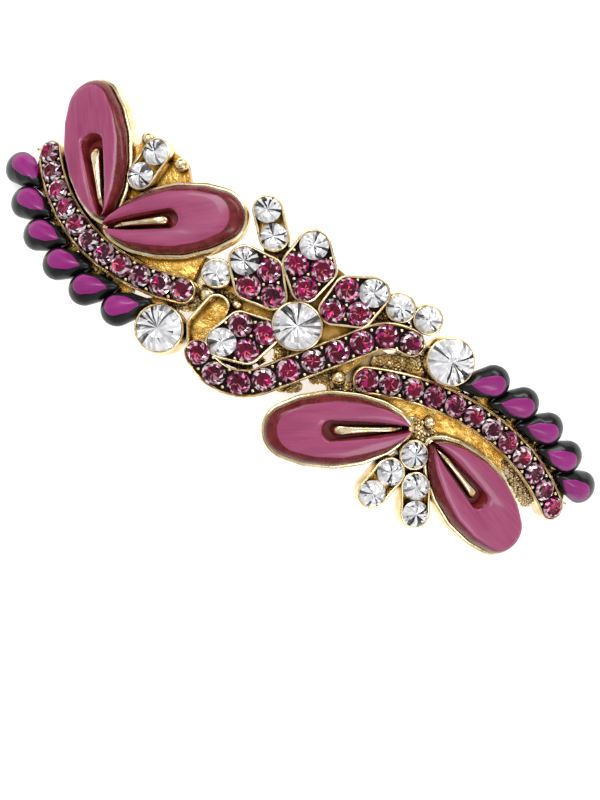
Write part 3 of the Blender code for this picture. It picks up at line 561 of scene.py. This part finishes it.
def ruby_palette(silver):
    """A dark table with a painted glint, inside a crown ring of facets with painted light and dark
    reflections.
    """
    def palette(sectors):
        lights = SILVER_REFLECTION_TONES if random.random() < silver else PLUM_REFLECTION_TONES
        base = random.choice(TABLE_TONES)
        glint = random.randrange(sectors)
        spread = random.choice((0, 1, 2, 3))

        def table(sector):
            if (sector - glint) % sectors < spread:
                return random.choice(GLINT_TONES)
            return tuple(part * random.uniform(0.75, 1.2) for part in base)

        def crown(sector):
            chance = 0.8 if sector % 2 else 0.35
            return random.choice(lights if random.random() < chance else SHADE_TONES)
        return table, crown
    return palette


# Shares of a stone's radius
GEM_CROWN = 0.32
GEM_DISH = 0.13
GEM_TILT = 0.05
RUBY_TABLE = 0.6


def gem(build, u, v, girdle, radius, palette, folds=8, table=0.56):
    """A round brilliant, slightly tilted at random: a dished table, crown facets, a girdle and a
    short pavilion."""
    count = 2 * folds
    crown = GEM_CROWN * radius
    spin = random.uniform(0.0, 2.0 * math.pi / count)
    tilt_u, tilt_v = random.uniform(-GEM_TILT, GEM_TILT), random.uniform(-GEM_TILT, GEM_TILT)
    core_tone, ring_tone = palette(count)
    #         share of the radius, height, odd corners lower by, random height
    levels = ((0.5 * table, crown - 0.05 * radius, 0.03, 0.015), (table, crown, 0.0, 0.008),
              (0.5 * (1.0 + table), 0.58 * crown, -0.06, 0.03), (1.0, 0.0, 0.03, 0.0),
              (0.98, -0.1 * radius, 0.0, 0.0), (0.5, -0.45 * radius, 0.0, 0.0))
    verts = [(u, v, girdle + crown - GEM_DISH * radius)]
    for share, height, odd, loose in levels:
        for k in range(count):
            angle = spin + 2.0 * math.pi * k / count
            du, dv = share * radius * math.cos(angle), share * radius * math.sin(angle)
            w = girdle + height + tilt_u * du + tilt_v * dv
            w += radius * (random.uniform(-loose, loose) - odd * (k % 2))
            verts.append((u + du, v + dv, w))
    faces = []
    tones = []
    for k in range(count):
        after = (k + 1) % count
        faces.append((0, 1 + k, 1 + after))
        tones.append(core_tone(k))
        for level in range(len(levels) - 1):
            low, high = 1 + level * count, 1 + (level + 1) * count
            tone = core_tone if level == 0 else ring_tone
            faces += [(low + k, high + k, high + after), (low + k, high + after, low + after)]
            tones += [tone(k), tone(k)]
    last = 1 + (len(levels) - 1) * count
    faces.append(tuple(last + k for k in reversed(range(count))))
    tones.append(core_tone(0))
    build.add(verts, faces, tones=tones)


def ruby_strip(name, spots, girdle, node, radius, silver):
    """Rubies set in one bed, as one piece; silver is the share of pale-lit stones."""
    build = Build()
    for u, v in spots:
        gem(build, u, v, girdle, radius, ruby_palette(silver), table=RUBY_TABLE)
    build.finish(name, [RUBY], replaces=[node], flat=True)


def crystal(name, u, v, girdle, radius, node, **options):
    build = Build()
    gem(build, u, v, girdle, radius, clear_palette, **options)
    build.finish(name, [CRYSTAL], replaces=[node], flat=True)


def row_spots(row):
    return [(u, v) for u, v, _heading in arc_path(row, row[4])]


# Girdles sit a little above the rims, and stones reach a little past the CAD stones to meet them
STONE_LIFT = 0.08
PETAL_SINK = 0.02
WIDE_OVER = 0.1
NARROW_OVER = 0.08
TIP_OVER = 0.04
SMALL_OVER = 0.12
SMALL_FOLDS = 12
BIG_FOLDS = 19
BIG_TABLE = 0.46
RIBBON_SPOTS = [(u, v) for u, v, _heading in ribbon_path(RIBBON_GEMS)]
ruby_strip("left_row_stones", row_spots(LEFT_ROW), ROW_RIM_TOP + STONE_LIFT, "left_row_rubies",
           ROW_GEM / 2.0 + WIDE_OVER, silver=0.85)
ruby_strip("right_row_stones", row_spots(RIGHT_ROW), ROW_RIM_TOP + STONE_LIFT, "right_row_rubies",
           ROW_GEM / 2.0 + NARROW_OVER, silver=0.55)
ruby_strip("ribbon_stones", RIBBON_SPOTS, FLOWER_RIM_TOP + STONE_LIFT, "ribbon_rubies",
           ROW_GEM / 2.0 + WIDE_OVER, silver=0.4)

for index in range(len(PETALS)):
    circles = petal_circles(index)
    build = Build()
    for u, v, radius in circles[:3]:
        gem(build, u, v, FLOWER_RIM_TOP - PETAL_SINK, radius + NARROW_OVER, ruby_palette(silver=0.25),
            table=RUBY_TABLE)
    build.finish(f"petal_{index + 1}_ruby_stones", [RUBY],
                 replaces=[f"petal_{index + 1}_rubies"], flat=True)
    u, v, radius = circles[3]
    crystal(f"petal_{index + 1}_crystal", u, v, FLOWER_RIM_TOP + STONE_LIFT, radius + TIP_OVER,
            f"petal_{index + 1}_clear", folds=SMALL_FOLDS)

for index, (u, v) in enumerate(CLEAR_STONES):
    crystal(f"crystal_{index + 1:02d}", u, v, CUP_RIM_TOP + STONE_LIFT,
            SMALL_CLEAR / 2.0 + SMALL_OVER, f"clear_stone_{index + 1:02d}", folds=SMALL_FOLDS)

for name, (u, v) in BIG_STONES.items():
    crystal(f"crystal_big_{name}", u, v, BIG_RIM_TOP + STONE_LIFT,
            BIG_CLEAR / 2.0 + NARROW_OVER, f"big_stone_{name}", folds=BIG_FOLDS, table=BIG_TABLE)


# ---------------------------------------------------------------- gold rims and beds

# Rounding of a rim's top, and how far each kind of rim reaches in over its stones
SHOULDER = 0.12
EDGE = 0.05
CREST = 0.02
BAND_LIP = 0.03
CUP_LIP = 0.07
BIG_LIP = 0.11
WING_LIP = 0.12
ARC_STEPS = {"left": 61, "right": 67, "ribbon": 71}
BIG_CUP_SIDES = 120
PETAL_SIDES = 140
WING_RIM_SIDES = 160


def rim_profile(top, wall):
    """(offset, w) round a rim's section, from the pocket floor over the top and down outside."""
    return [(-wall, POCKET_FLOOR - EDGE), (-wall, top - SHOULDER), (-wall + EDGE, top),
            (-0.5 * wall, top + PROUD + CREST), (-EDGE, top), (PROUD, top - SHOULDER), (PROUD, 0.0)]


def clear_outline(indices, grow):
    return smooth_hull([(*CLEAR_STONES[index], SMALL_CLEAR / 2.0) for index in indices], grow)


LEFT_PATH = arc_path(LEFT_ROW, ARC_STEPS["left"])
RIGHT_PATH = arc_path(RIGHT_ROW, ARC_STEPS["right"])
RIBBON_PATH = ribbon_path(ARC_STEPS["ribbon"])


def cups(build, indices):
    """Rims of small clear stones: the pairs that share one rim, then the single ones."""
    pairs = [pair for pair in PILL_PAIRS if pair[0] in indices]
    paired = {index for pair in pairs for index in pair}
    for group in pairs + [(index,) for index in indices if index not in paired]:
        build.collar(clear_outline(group, FIT + RIM_WALL), rim_profile(CUP_RIM_TOP, RIM_WALL + CUP_LIP))


def big_cup(build, name):
    outline = smooth_hull([(*BIG_STONES[name], BIG_CLEAR / 2.0)], FIT + BIG_CUP_WALL,
                          BIG_CUP_SIDES)
    build.collar(outline, rim_profile(BIG_RIM_TOP, BIG_CUP_WALL + BIG_LIP))


def wing_rim(build, index):
    hub, heading, stretch = WINGS[index]
    outline = smooth_hull(on_axis(hub, heading, WING_CIRCLES, stretch), FIT + WING_WALL,
                          WING_RIM_SIDES)
    build.collar(outline, rim_profile(WING_RIM_TOP, WING_WALL + WING_LIP))


def beads_between(build, spots, half_width, w, radius):
    """Claws in the gaps between neighbouring stones, along both walls."""
    for (u0, v0), (u1, v1) in zip(spots, spots[1:]):
        heading = math.degrees(math.atan2(v1 - v0, u1 - u0))
        middle = (0.5 * (u0 + u1), 0.5 * (v0 + v1))
        for side in (-half_width, half_width):
            u, v = along(middle, heading, 0.0, side)
            build.dome(u, v, w, radius, rings=6, sides=12)


SCOOP_SIDES = 240
SCOOP_STEPS = 60
SCOOP_END = -8.6
SCOOP_OVERLAP = 0.1
#               half width, w
SCOOP_LEVELS = ((0.16, 0.0), (0.16, FLOWER_RIM_TOP - 0.1), (0.12, FLOWER_RIM_TOP + 0.02),
                (0.05, FLOWER_RIM_TOP + 0.06))


def scoop_wall(build):
    """The curled free edge beside the fourth petal: only its stretch outside petal and ribbon."""
    petal = [(u, v, radius + FIT + RIM_WALL) for u, v, radius in petal_circles(3)]

    def free(point):
        clear = min(math.hypot(point[0] - u, point[1] - v) for u, v, _heading in RIBBON_PATH)
        inside = min(math.hypot(point[0] - u, point[1] - v) - radius for u, v, radius in petal)
        return (clear > RIBBON_HALF_WIDTH - SCOOP_OVERLAP and inside > -SCOOP_OVERLAP
                and point[0] < SCOOP_END)

    outline = offset(smooth_hull(SCOOP, 0.0, SCOOP_SIDES), -0.5 * RIM_WALL)
    first = next(k for k in range(SCOOP_SIDES) if free(outline[k]) and not free(outline[k - 1]))
    turned = outline[first:] + outline[:first]
    run = resample([point for point in turned if free(point)], SCOOP_STEPS, closed=False)
    path = []
    for k, (u, v) in enumerate(run):
        u0, v0 = run[max(0, k - 1)]
        u1, v1 = run[min(SCOOP_STEPS - 1, k + 1)]
        path.append((u, v, math.degrees(math.atan2(v1 - v0, u1 - u0))))
    build.loft([[(u, v, w) for u, v in band(path, half, 6)] for half, w in SCOOP_LEVELS])


def butterfly_rims(side, path, wings, stones):
    build = Build()
    build.collar(band(path, ROW_HALF_WIDTH), rim_profile(ROW_RIM_TOP, RIM_WALL + BAND_LIP))
    for index in wings:
        wing_rim(build, index)
    big_cup(build, side)
    cups(build, stones)
    build.finish(f"gold_rims_{side}", [GOLD], angle=50.0)


def flower_rims():
    build = Build()
    for index in range(len(PETALS)):
        build.collar(smooth_hull(petal_circles(index, FIT + RIM_WALL), 0.0, PETAL_SIDES),
                     rim_profile(FLOWER_RIM_TOP, RIM_WALL + CUP_LIP))
    build.collar(band(RIBBON_PATH, RIBBON_HALF_WIDTH), rim_profile(FLOWER_RIM_TOP, RIM_WALL + BAND_LIP))
    scoop_wall(build)
    big_cup(build, "centre")
    cups(build, (2, 3, 4, 5, 6))
    build.finish("gold_rims_centre", [GOLD], angle=50.0)


butterfly_rims("left", LEFT_PATH, (0, 1), (0, 1))
flower_rims()
butterfly_rims("right", RIGHT_PATH, (2, 3), (7, 8, 9, 10, 11))

# Claws: distance from a row's middle line, depth below the rim top, bead radius
ROW_CLAW = (1.12, 0.15, 0.27)
RIBBON_CLAW = (1.1, 0.15, 0.25)
# Petal beads: distance out from the inner ruby, and to the side
PETAL_BEADS = ((0.9, -1.45), (0.9, 1.45), (1.75, 0.0), (4.2, -2.15), (4.2, 2.15))
PETAL_BEAD_DEPTH = 0.2
PETAL_BEAD_RADIUS = 0.26

claws = Build()
for spots, top, (reach, depth, radius) in ((row_spots(LEFT_ROW), ROW_RIM_TOP, ROW_CLAW),
                                           (row_spots(RIGHT_ROW), ROW_RIM_TOP, ROW_CLAW),
                                           (RIBBON_SPOTS, FLOWER_RIM_TOP, RIBBON_CLAW)):
    beads_between(claws, spots, reach, top - depth, radius)
for u, v, radius in BALLS:
    claws.dome(u, v, PLATE_TOP + 0.5 * radius, radius + PROUD, rings=14, sides=32, sink=0.9)
for heading, inner in PETALS:
    for distance, side in PETAL_BEADS:
        u, v = along(FLOWER_CENTRE, heading, inner + distance, side)
        claws.dome(u, v, FLOWER_RIM_TOP - PETAL_BEAD_DEPTH, PETAL_BEAD_RADIUS, rings=4, sides=10)
claws.finish("gold_claws_and_balls", [GOLD], angle=80.0)

# Bead spacing as a share of bead size, and how far a bead strays
NUGGET_SPACING = 0.8
NUGGET_STRAY = 0.1
NUGGET_PLATE_FOOT = 0.4
# The plate under each fan of drops: distance outside the row's edge, half width, foot and top
FAN_PLATE = (0.45, 0.5, 0.3, 0.95)
FAN_BEADS_PER_DROP = 4

nuggets = Build()
for region, w, size in NUGGETS:
    pitch = NUGGET_SPACING * size
    outline = smooth_hull(region, 0.0, 60)
    nuggets.loft([[(u, v, level) for u, v in outline] for level in (NUGGET_PLATE_FOOT, w)])
    lows = [min(point[axis] for point in outline) for axis in (0, 1)]
    highs = [max(point[axis] for point in outline) for axis in (0, 1)]
    rows = int((highs[1] - lows[1]) / pitch) + 1
    columns = int((highs[0] - lows[0]) / pitch) + 1
    for row in range(rows):
        for column in range(columns):
            u = lows[0] + pitch * (column + 0.5 * (row % 2)) + random.uniform(-NUGGET_STRAY, NUGGET_STRAY)
            v = lows[1] + pitch * row + random.uniform(-NUGGET_STRAY, NUGGET_STRAY)
            if inside_outline(outline, u, v):
                nuggets.dome(u, v, w - 0.1, random.uniform(0.5, 0.75) * size,
                             random.uniform(0.5, 1.1) * size, rings=2, sides=6)
for row, spread in ((LEFT_ROW, LEFT_DROPS), (RIGHT_ROW, RIGHT_DROPS)):
    centre, radius, _first, _last, _gems = row
    first, last, count = spread
    away, half, foot, top = FAN_PLATE
    strip = band(arc_path((centre, radius + ROW_HALF_WIDTH + away, first, last, count), 60), half)
    nuggets.loft([[(u, v, level) for u, v in strip] for level in (foot, top)])
    steps = FAN_BEADS_PER_DROP * (count - 1)
    for step in range(steps):
        angle = first - 4.0 + (last - first) * step / float(steps)
        u, v = along(centre, angle, radius + ROW_HALF_WIDTH + 0.3 + random.uniform(0.0, 0.25))
        nuggets.dome(u, v, 1.0, random.uniform(0.28, 0.42), random.uniform(0.2, 0.5), rings=2, sides=6)
nuggets.finish("gold_nuggets", [GOLD], flat=True)


ROW_BED_TOP = 1.2
FLOWER_BED_TOP = 1.5


def bed(name, outline, top):
    """A dark bed of painted shade that shows between the stones of a pocket."""
    build = Build()
    low = [(u, v, POCKET_FLOOR - 0.03) for u, v in outline]
    high = [(u, v, top) for u, v in outline]
    build.loft([low, high])
    build.finish(name, [SHADE_BED])


bed("left_row_bed", band(LEFT_PATH, ROW_HALF_WIDTH - RIM_WALL), ROW_BED_TOP)
bed("right_row_bed", band(RIGHT_PATH, ROW_HALF_WIDTH - RIM_WALL), ROW_BED_TOP)
bed("ribbon_bed", band(RIBBON_PATH, RIBBON_HALF_WIDTH - RIM_WALL), FLOWER_BED_TOP)
for index in range(len(PETALS)):
    bed(f"petal_{index + 1}_bed", smooth_hull(petal_circles(index, FIT)), FLOWER_BED_TOP)


# ---------------------------------------------------------------- wings

FINE_OUTLINE = 720
WING_STEPS = 121
WING_INSET = -0.06
SLOT_OPENING = 0.25
# The band's section: (distance in from the outer edge, w), then (distance out from the slot, w)
OUTER_SIDE = ((0.0, WING_BOTTOM), (0.0, 1.88), (-0.26, 1.98), (-0.28, 2.4), (-0.18, 2.75),
              (0.05, 3.02), (0.3, 3.25), (0.55, 3.42), (0.8, 3.54), (1.6, WING_TOP))
SLOT_SIDE = ((1.1, WING_TOP), (0.62, 3.52), (0.34, 3.38), (0.16, 3.16), (0.05, 2.85), (0.0, 2.5),
             (0.0, WING_BOTTOM))
TOP_SPANS = range(8, 12)
SLOT_SPANS = range(13, 17)
SLOPE_SHARE = 0.47
# The outer slope, dark with painted shade, is wider on the side towards WING_SHADE
SLOPE_MEAN = 0.95
SLOPE_SWING = 0.6
WING_UV_STEP = 0.37
SLOT_FLOOR_MOUTH = (1.0, 0.3)
SLOT_FLOOR_LEVELS = (0.95, 1.75)


def wing(index):
    """Resin wing: a band round the open slot, with rounded edges and a satin top; the edges and the slot
    get darker resin copies, a painted shade.
    """
    hub, heading, stretch = WINGS[index]
    steps = WING_STEPS
    outer = smooth_hull(on_axis(hub, heading, WING_CIRCLES, stretch), WING_INSET, FINE_OUTLINE)
    slot = smooth_hull(on_axis(hub, heading, (SLOT_ENDS[index], SLOT_MOUTH)), 0.0, FINE_OUTLINE)

    def local(point):
        angle = math.radians(heading)
        du, dv = point[0] - hub[0], point[1] - hub[1]
        return (du * math.cos(angle) + dv * math.sin(angle), dv * math.cos(angle) - du * math.sin(angle))

    def opened(points, shortest):
        """The outline from the hub round the tip and back, as an open line."""
        start = min(range(len(points)), key=lambda k: local(points[k])[0])
        turned = points[start:] + points[:start]
        return resample([p for p in turned if local(p)[0] > shortest], steps, closed=False)

    outside = opened(outer, 0.0)
    inside = opened(slot, SLOT_OPENING)
    build = Build()
    rings = []
    uvs = []
    for far, near in zip(outside, inside):
        width = math.hypot(near[0] - far[0], near[1] - far[1])
        squeeze = min(1.0, SLOPE_SHARE * width / OUTER_SIDE[-1][0])
        facing = math.atan2(far[1] - near[1], far[0] - near[0]) - math.radians(WING_SHADE[index])
        widen = SLOPE_MEAN + SLOPE_SWING * math.cos(facing)
        shares = [(squeeze * away * (widen if away > 0.0 else 1.0) / width, w) for away, w in OUTER_SIDE]
        shares += [(1.0 - squeeze * away / width, w) for away, w in SLOT_SIDE]
        ring = []
        for share, w in shares:
            u = far[0] + (near[0] - far[0]) * share
            v = far[1] + (near[1] - far[1]) * share
            ring.append((u, v, w))
            a, b = local((u, v))
            uvs.append((a * UV_SCALE, b * UV_SCALE + WING_UV_STEP * index))
        rings.append(ring)
    count = len(rings[0])
    faces = []
    slots = []
    for level in range(steps - 1):
        for k in range(count):
            after = (k + 1) % count
            faces.append((level * count + k, level * count + after,
                          (level + 1) * count + after, (level + 1) * count + k))
            slots.append(0 if k in TOP_SPANS else 2 if k in SLOT_SPANS else 1)
    faces.append(tuple(reversed(range(count))))
    faces.append(tuple(range((steps - 1) * count, steps * count)))
    slots += [2, 2]
    build.add([vert for ring in rings for vert in ring], faces, slots, uvs=uvs)
    floor = smooth_hull(on_axis(hub, heading, (SLOT_ENDS[index], SLOT_FLOOR_MOUTH)), -0.02)
    build.loft([[(u, v, w) for u, v in floor] for w in SLOT_FLOOR_LEVELS], 2)
    build.finish(f"wing_resin_{index + 1}", [RESIN, RESIN_EDGE_SHADED, RESIN_WALL_SHADED],
                 replaces=[f"wing_{index + 1}"], angle=60.0)


VEIN_MIDDLE = 6.0
VEIN_SIDES = 80
#               w, share of the outline
VEIN_LEVELS = ((0.6, 1.0), (2.1, 1.0), (2.5, 0.95), (2.85, 0.84), (3.05, 0.68), (3.18, 0.4),
               (3.22, 0.12))


def vein(build, index):
    """The raised gold vein that stands in a wing's slot."""
    hub, heading, _stretch = WINGS[index]
    middle = along(hub, heading, VEIN_MIDDLE)
    reach, half_width = SLOT_ENDS[index]
    far = (reach - VEIN_SETBACK, half_width * VEIN_SHARE)
    base = smooth_hull(on_axis(hub, heading, (far, VEIN_NEAR)), PROUD, VEIN_SIDES)
    rings = []
    for w, scale in VEIN_LEVELS:
        rings.append([(middle[0] + (u - middle[0]) * scale, middle[1] + (v - middle[1]) * scale, w)
                      for u, v in base])
    build.loft(rings)


veins = Build()
for index in range(len(WINGS)):
    wing(index)
    vein(veins, index)
veins.finish("gold_wing_veins", [GOLD], angle=60.0)


# ---------------------------------------------------------------- drops

DROP_TOP = 3.2
DROP_FOOT = 1.0
DROP_SHOULDER = 1.75
DROP_POWERS = (2.3, 0.62)
DROP_SIDES = 72
DROP_MIDDLE = -0.5
DROP_RINGS = 15
INLAY_SIDES = 48
INLAY_AHEAD = 0.36
INLAY_MIDDLE = -0.7
#               share of the way out, height above the dome
INLAY_LEVELS = ((1.0, -0.25), (1.0, 0.0), (0.985, 0.028), (0.93, 0.04), (0.8, 0.045),
                (0.6, 0.05), (0.4, 0.05), (0.2, 0.05), (0.04, 0.05))


def polar(outline, middle, count):
    """Distance from the middle to the outline at even angles."""
    angles = []
    for u, v in outline:
        du, dv = u - middle[0], v - middle[1]
        angles.append((math.atan2(dv, du), math.hypot(du, dv)))
    angles.sort()
    table = [(angles[-1][0] - 2.0 * math.pi, angles[-1][1])] + angles
    table += [(angles[0][0] + 2.0 * math.pi, angles[0][1])]
    result = []
    spot = 0
    for k in range(count):
        angle = -math.pi + 2.0 * math.pi * k / count
        while spot < len(table) - 2 and table[spot + 1][0] < angle:
            spot += 1
        (a0, r0), (a1, r1) = table[spot], table[spot + 1]
        part = 0.0 if a1 == a0 else (angle - a0) / (a1 - a0)
        result.append(r0 + (r1 - r0) * part)
    return result


def dome_height(share):
    """Height of a drop's dome at a share of the way out to its edge."""
    inner, outer = DROP_POWERS
    return DROP_SHOULDER + (DROP_TOP - DROP_SHOULDER) * max(0.0, 1.0 - share ** inner) ** outer


def drop_piece(name, node, place, heading):
    """A black drop, and its magenta face a hair above the dome."""
    sides = DROP_SIDES
    middle = along(place, heading, DROP_MIDDLE)
    outline = smooth_hull(on_axis(place, heading, DROP_CIRCLES), 0.02, FINE_OUTLINE)
    reach = polar(outline, middle, sides)

    def spot(k, share, w):
        angle = -math.pi + 2.0 * math.pi * k / sides
        return (middle[0] + reach[k] * share * math.cos(angle),
                middle[1] + reach[k] * share * math.sin(angle), w)

    build = Build()
    rings = [[spot(k, 0.93, DROP_FOOT) for k in range(sides)],
             [spot(k, 0.99, DROP_FOOT + 0.35) for k in range(sides)]]
    for step in range(DROP_RINGS):
        share = math.cos(math.pi / 2.0 * step / DROP_RINGS)
        rings.append([spot(k, share, dome_height(share)) for k in range(sides)])
    build.loft(rings)
    build.finish(name, [ENAMEL], replaces=[node], angle=70.0)

    inlay = Build()
    across, up = along(place, heading, INLAY_AHEAD, INLAY_SIDE)
    centre_spot = (across - INLAY_LEAN * math.sin(across / BEND_RADIUS), up)
    tear = on_axis(centre_spot, heading - INLAY_TURN, INLAY_CIRCLES)
    tear_middle = along(centre_spot, heading, INLAY_MIDDLE)
    tear_reach = polar(smooth_hull(tear, 0.0, FINE_OUTLINE), tear_middle, INLAY_SIDES)

    def on_dome(u, v, raise_by):
        du, dv = u - middle[0], v - middle[1]
        k = (math.atan2(dv, du) + math.pi) / (2.0 * math.pi) * sides
        low = int(k) % sides
        edge = reach[low] + (reach[(low + 1) % sides] - reach[low]) * (k - int(k))
        return dome_height(min(1.0, math.hypot(du, dv) / edge)) + raise_by

    rings = []
    for share, raise_by in INLAY_LEVELS:
        ring = []
        for k in range(INLAY_SIDES):
            angle = -math.pi + 2.0 * math.pi * k / INLAY_SIDES
            u = tear_middle[0] + tear_reach[k] * share * math.cos(angle)
            v = tear_middle[1] + tear_reach[k] * share * math.sin(angle)
            ring.append((u, v, on_dome(u, v, raise_by)))
        rings.append(ring)
    turn = math.radians(heading)
    uvs = [((u * math.cos(turn) + v * math.sin(turn)) * UV_SCALE,
            (v * math.cos(turn) - u * math.sin(turn)) * UV_SCALE)
           for ring in rings for u, v, _w in ring]
    inlay.loft(rings, uvs=uvs)
    inlay.finish(name + "_inlay", [MAGENTA], angle=70.0)


for side, row, spread in (("left", LEFT_ROW, LEFT_DROPS), ("right", RIGHT_ROW, RIGHT_DROPS)):
    for index, (place, heading) in enumerate(drop_frames(row, spread)):
        drop_piece(f"drop_dome_{side}_{index + 1}", f"drop_{side}_{index + 1}", place, heading)


# ---------------------------------------------------------------- carried-over CAD nodes

CAD_LOOKS = {"base_bar": BARRETTE, "catch_saddle": BARRETTE, "catch_prong_front": STEEL,
             "catch_prong_back": STEEL, "hinge_pin": STEEL, "locking_arm": BARRETTE,
             "tension_spring": STEEL, "rivet_1": BRASS, "rivet_2": BRASS,
             "casting_left_butterfly": GOLD_CAST_SHADED, "casting_centre_flower": GOLD_CAST_SHADED,
             "casting_right_butterfly": GOLD_CAST_SHADED}
for name, look in CAD_LOOKS.items():
    mesh = NODES[name].data
    mesh.materials.clear()
    mesh.materials.append(look)


# ---------------------------------------------------------------- floor, light and camera

FLOOR_HALF = 2.0
FLOOR_GLOW = 0.45
WORLD_STRENGTH = 0.8
WORLD_CELLS = 2.6
LIGHTS_AIM = (0.0, 0.0, 0.01)


def stage_floor():
    """Pale paper under the clip, lit a little by itself."""
    half = FLOOR_HALF
    mesh = bpy.data.meshes.new("floor")
    mesh.from_pydata([(-half, -half, 0.0), (half, -half, 0.0), (half, half, 0.0), (-half, half, 0.0)],
                     [], [(0, 1, 2, 3)])
    look = Look("floor_paper", Roughness=0.8)
    look.colour(look.ramp(look.noise(30.0), ((0.3, 0.93), (0.7, 0.95))))
    look.shader.inputs["Emission Color"].default_value = (1.0, 1.0, 1.0, 1.0)
    look.shader.inputs["Emission Strength"].default_value = FLOOR_GLOW
    mesh.materials.append(look.material)
    obj = bpy.data.objects.new("floor", mesh)
    bpy.context.scene.collection.objects.link(obj)


def softbox(name, place, size, power):
    data = bpy.data.lights.new(name, "AREA")
    data.shape = "RECTANGLE"
    data.size, data.size_y = size
    data.energy = power
    obj = bpy.data.objects.new(name, data)
    obj.location = place
    obj.rotation_euler = (Vector(LIGHTS_AIM) - Vector(place)).to_track_quat("-Z", "Y").to_euler()
    bpy.context.scene.collection.objects.link(obj)


def studio():
    """A soft surround of pale and dark patches for the metal and stones, and three softboxes."""
    world = bpy.data.worlds.new("studio")
    bpy.context.scene.world = world
    world.use_nodes = True
    nodes, links = world.node_tree.nodes, world.node_tree.links
    nodes.clear()
    out = nodes.new("ShaderNodeOutputWorld")
    back = nodes.new("ShaderNodeBackground")
    coords = nodes.new("ShaderNodeTexCoord")
    cells = nodes.new("ShaderNodeTexVoronoi")
    cells.inputs["Scale"].default_value = WORLD_CELLS
    ramp = nodes.new("ShaderNodeValToRGB")
    ramp.color_ramp.elements[0].position = 0.08
    ramp.color_ramp.elements[0].color = (0.05, 0.05, 0.055, 1.0)
    ramp.color_ramp.elements[1].position = 0.5
    ramp.color_ramp.elements[1].color = (1.0, 1.0, 1.0, 1.0)
    links.new(coords.outputs["Generated"], cells.inputs["Vector"])
    links.new(cells.outputs["Color"], ramp.inputs["Fac"])
    links.new(ramp.outputs["Color"], back.inputs["Color"])
    back.inputs["Strength"].default_value = WORLD_STRENGTH
    links.new(back.outputs["Background"], out.inputs["Surface"])
    softbox("key", (-0.35, 0.25, 0.55), (0.3, 0.3), 2.0)
    softbox("fill", (0.45, -0.15, 0.45), (0.18, 0.4), 1.2)
    softbox("back", (0.1, 0.5, 0.3), (0.4, 0.12), 0.9)


def camera():
    data = bpy.data.cameras.new("camera")
    data.sensor_width = 36.0
    data.lens = 132.3
    data.clip_start = 0.01
    data.clip_end = 10.0
    obj = bpy.data.objects.new("camera", data)
    obj.location = (0.00421, -0.00744, 0.3656)
    obj.rotation_euler = (0.0, 0.0, math.radians(28.0))
    bpy.context.scene.collection.objects.link(obj)
    bpy.context.scene.camera = obj


stage_floor()
studio()
camera()
bpy.context.scene.view_settings.view_transform = "Standard"
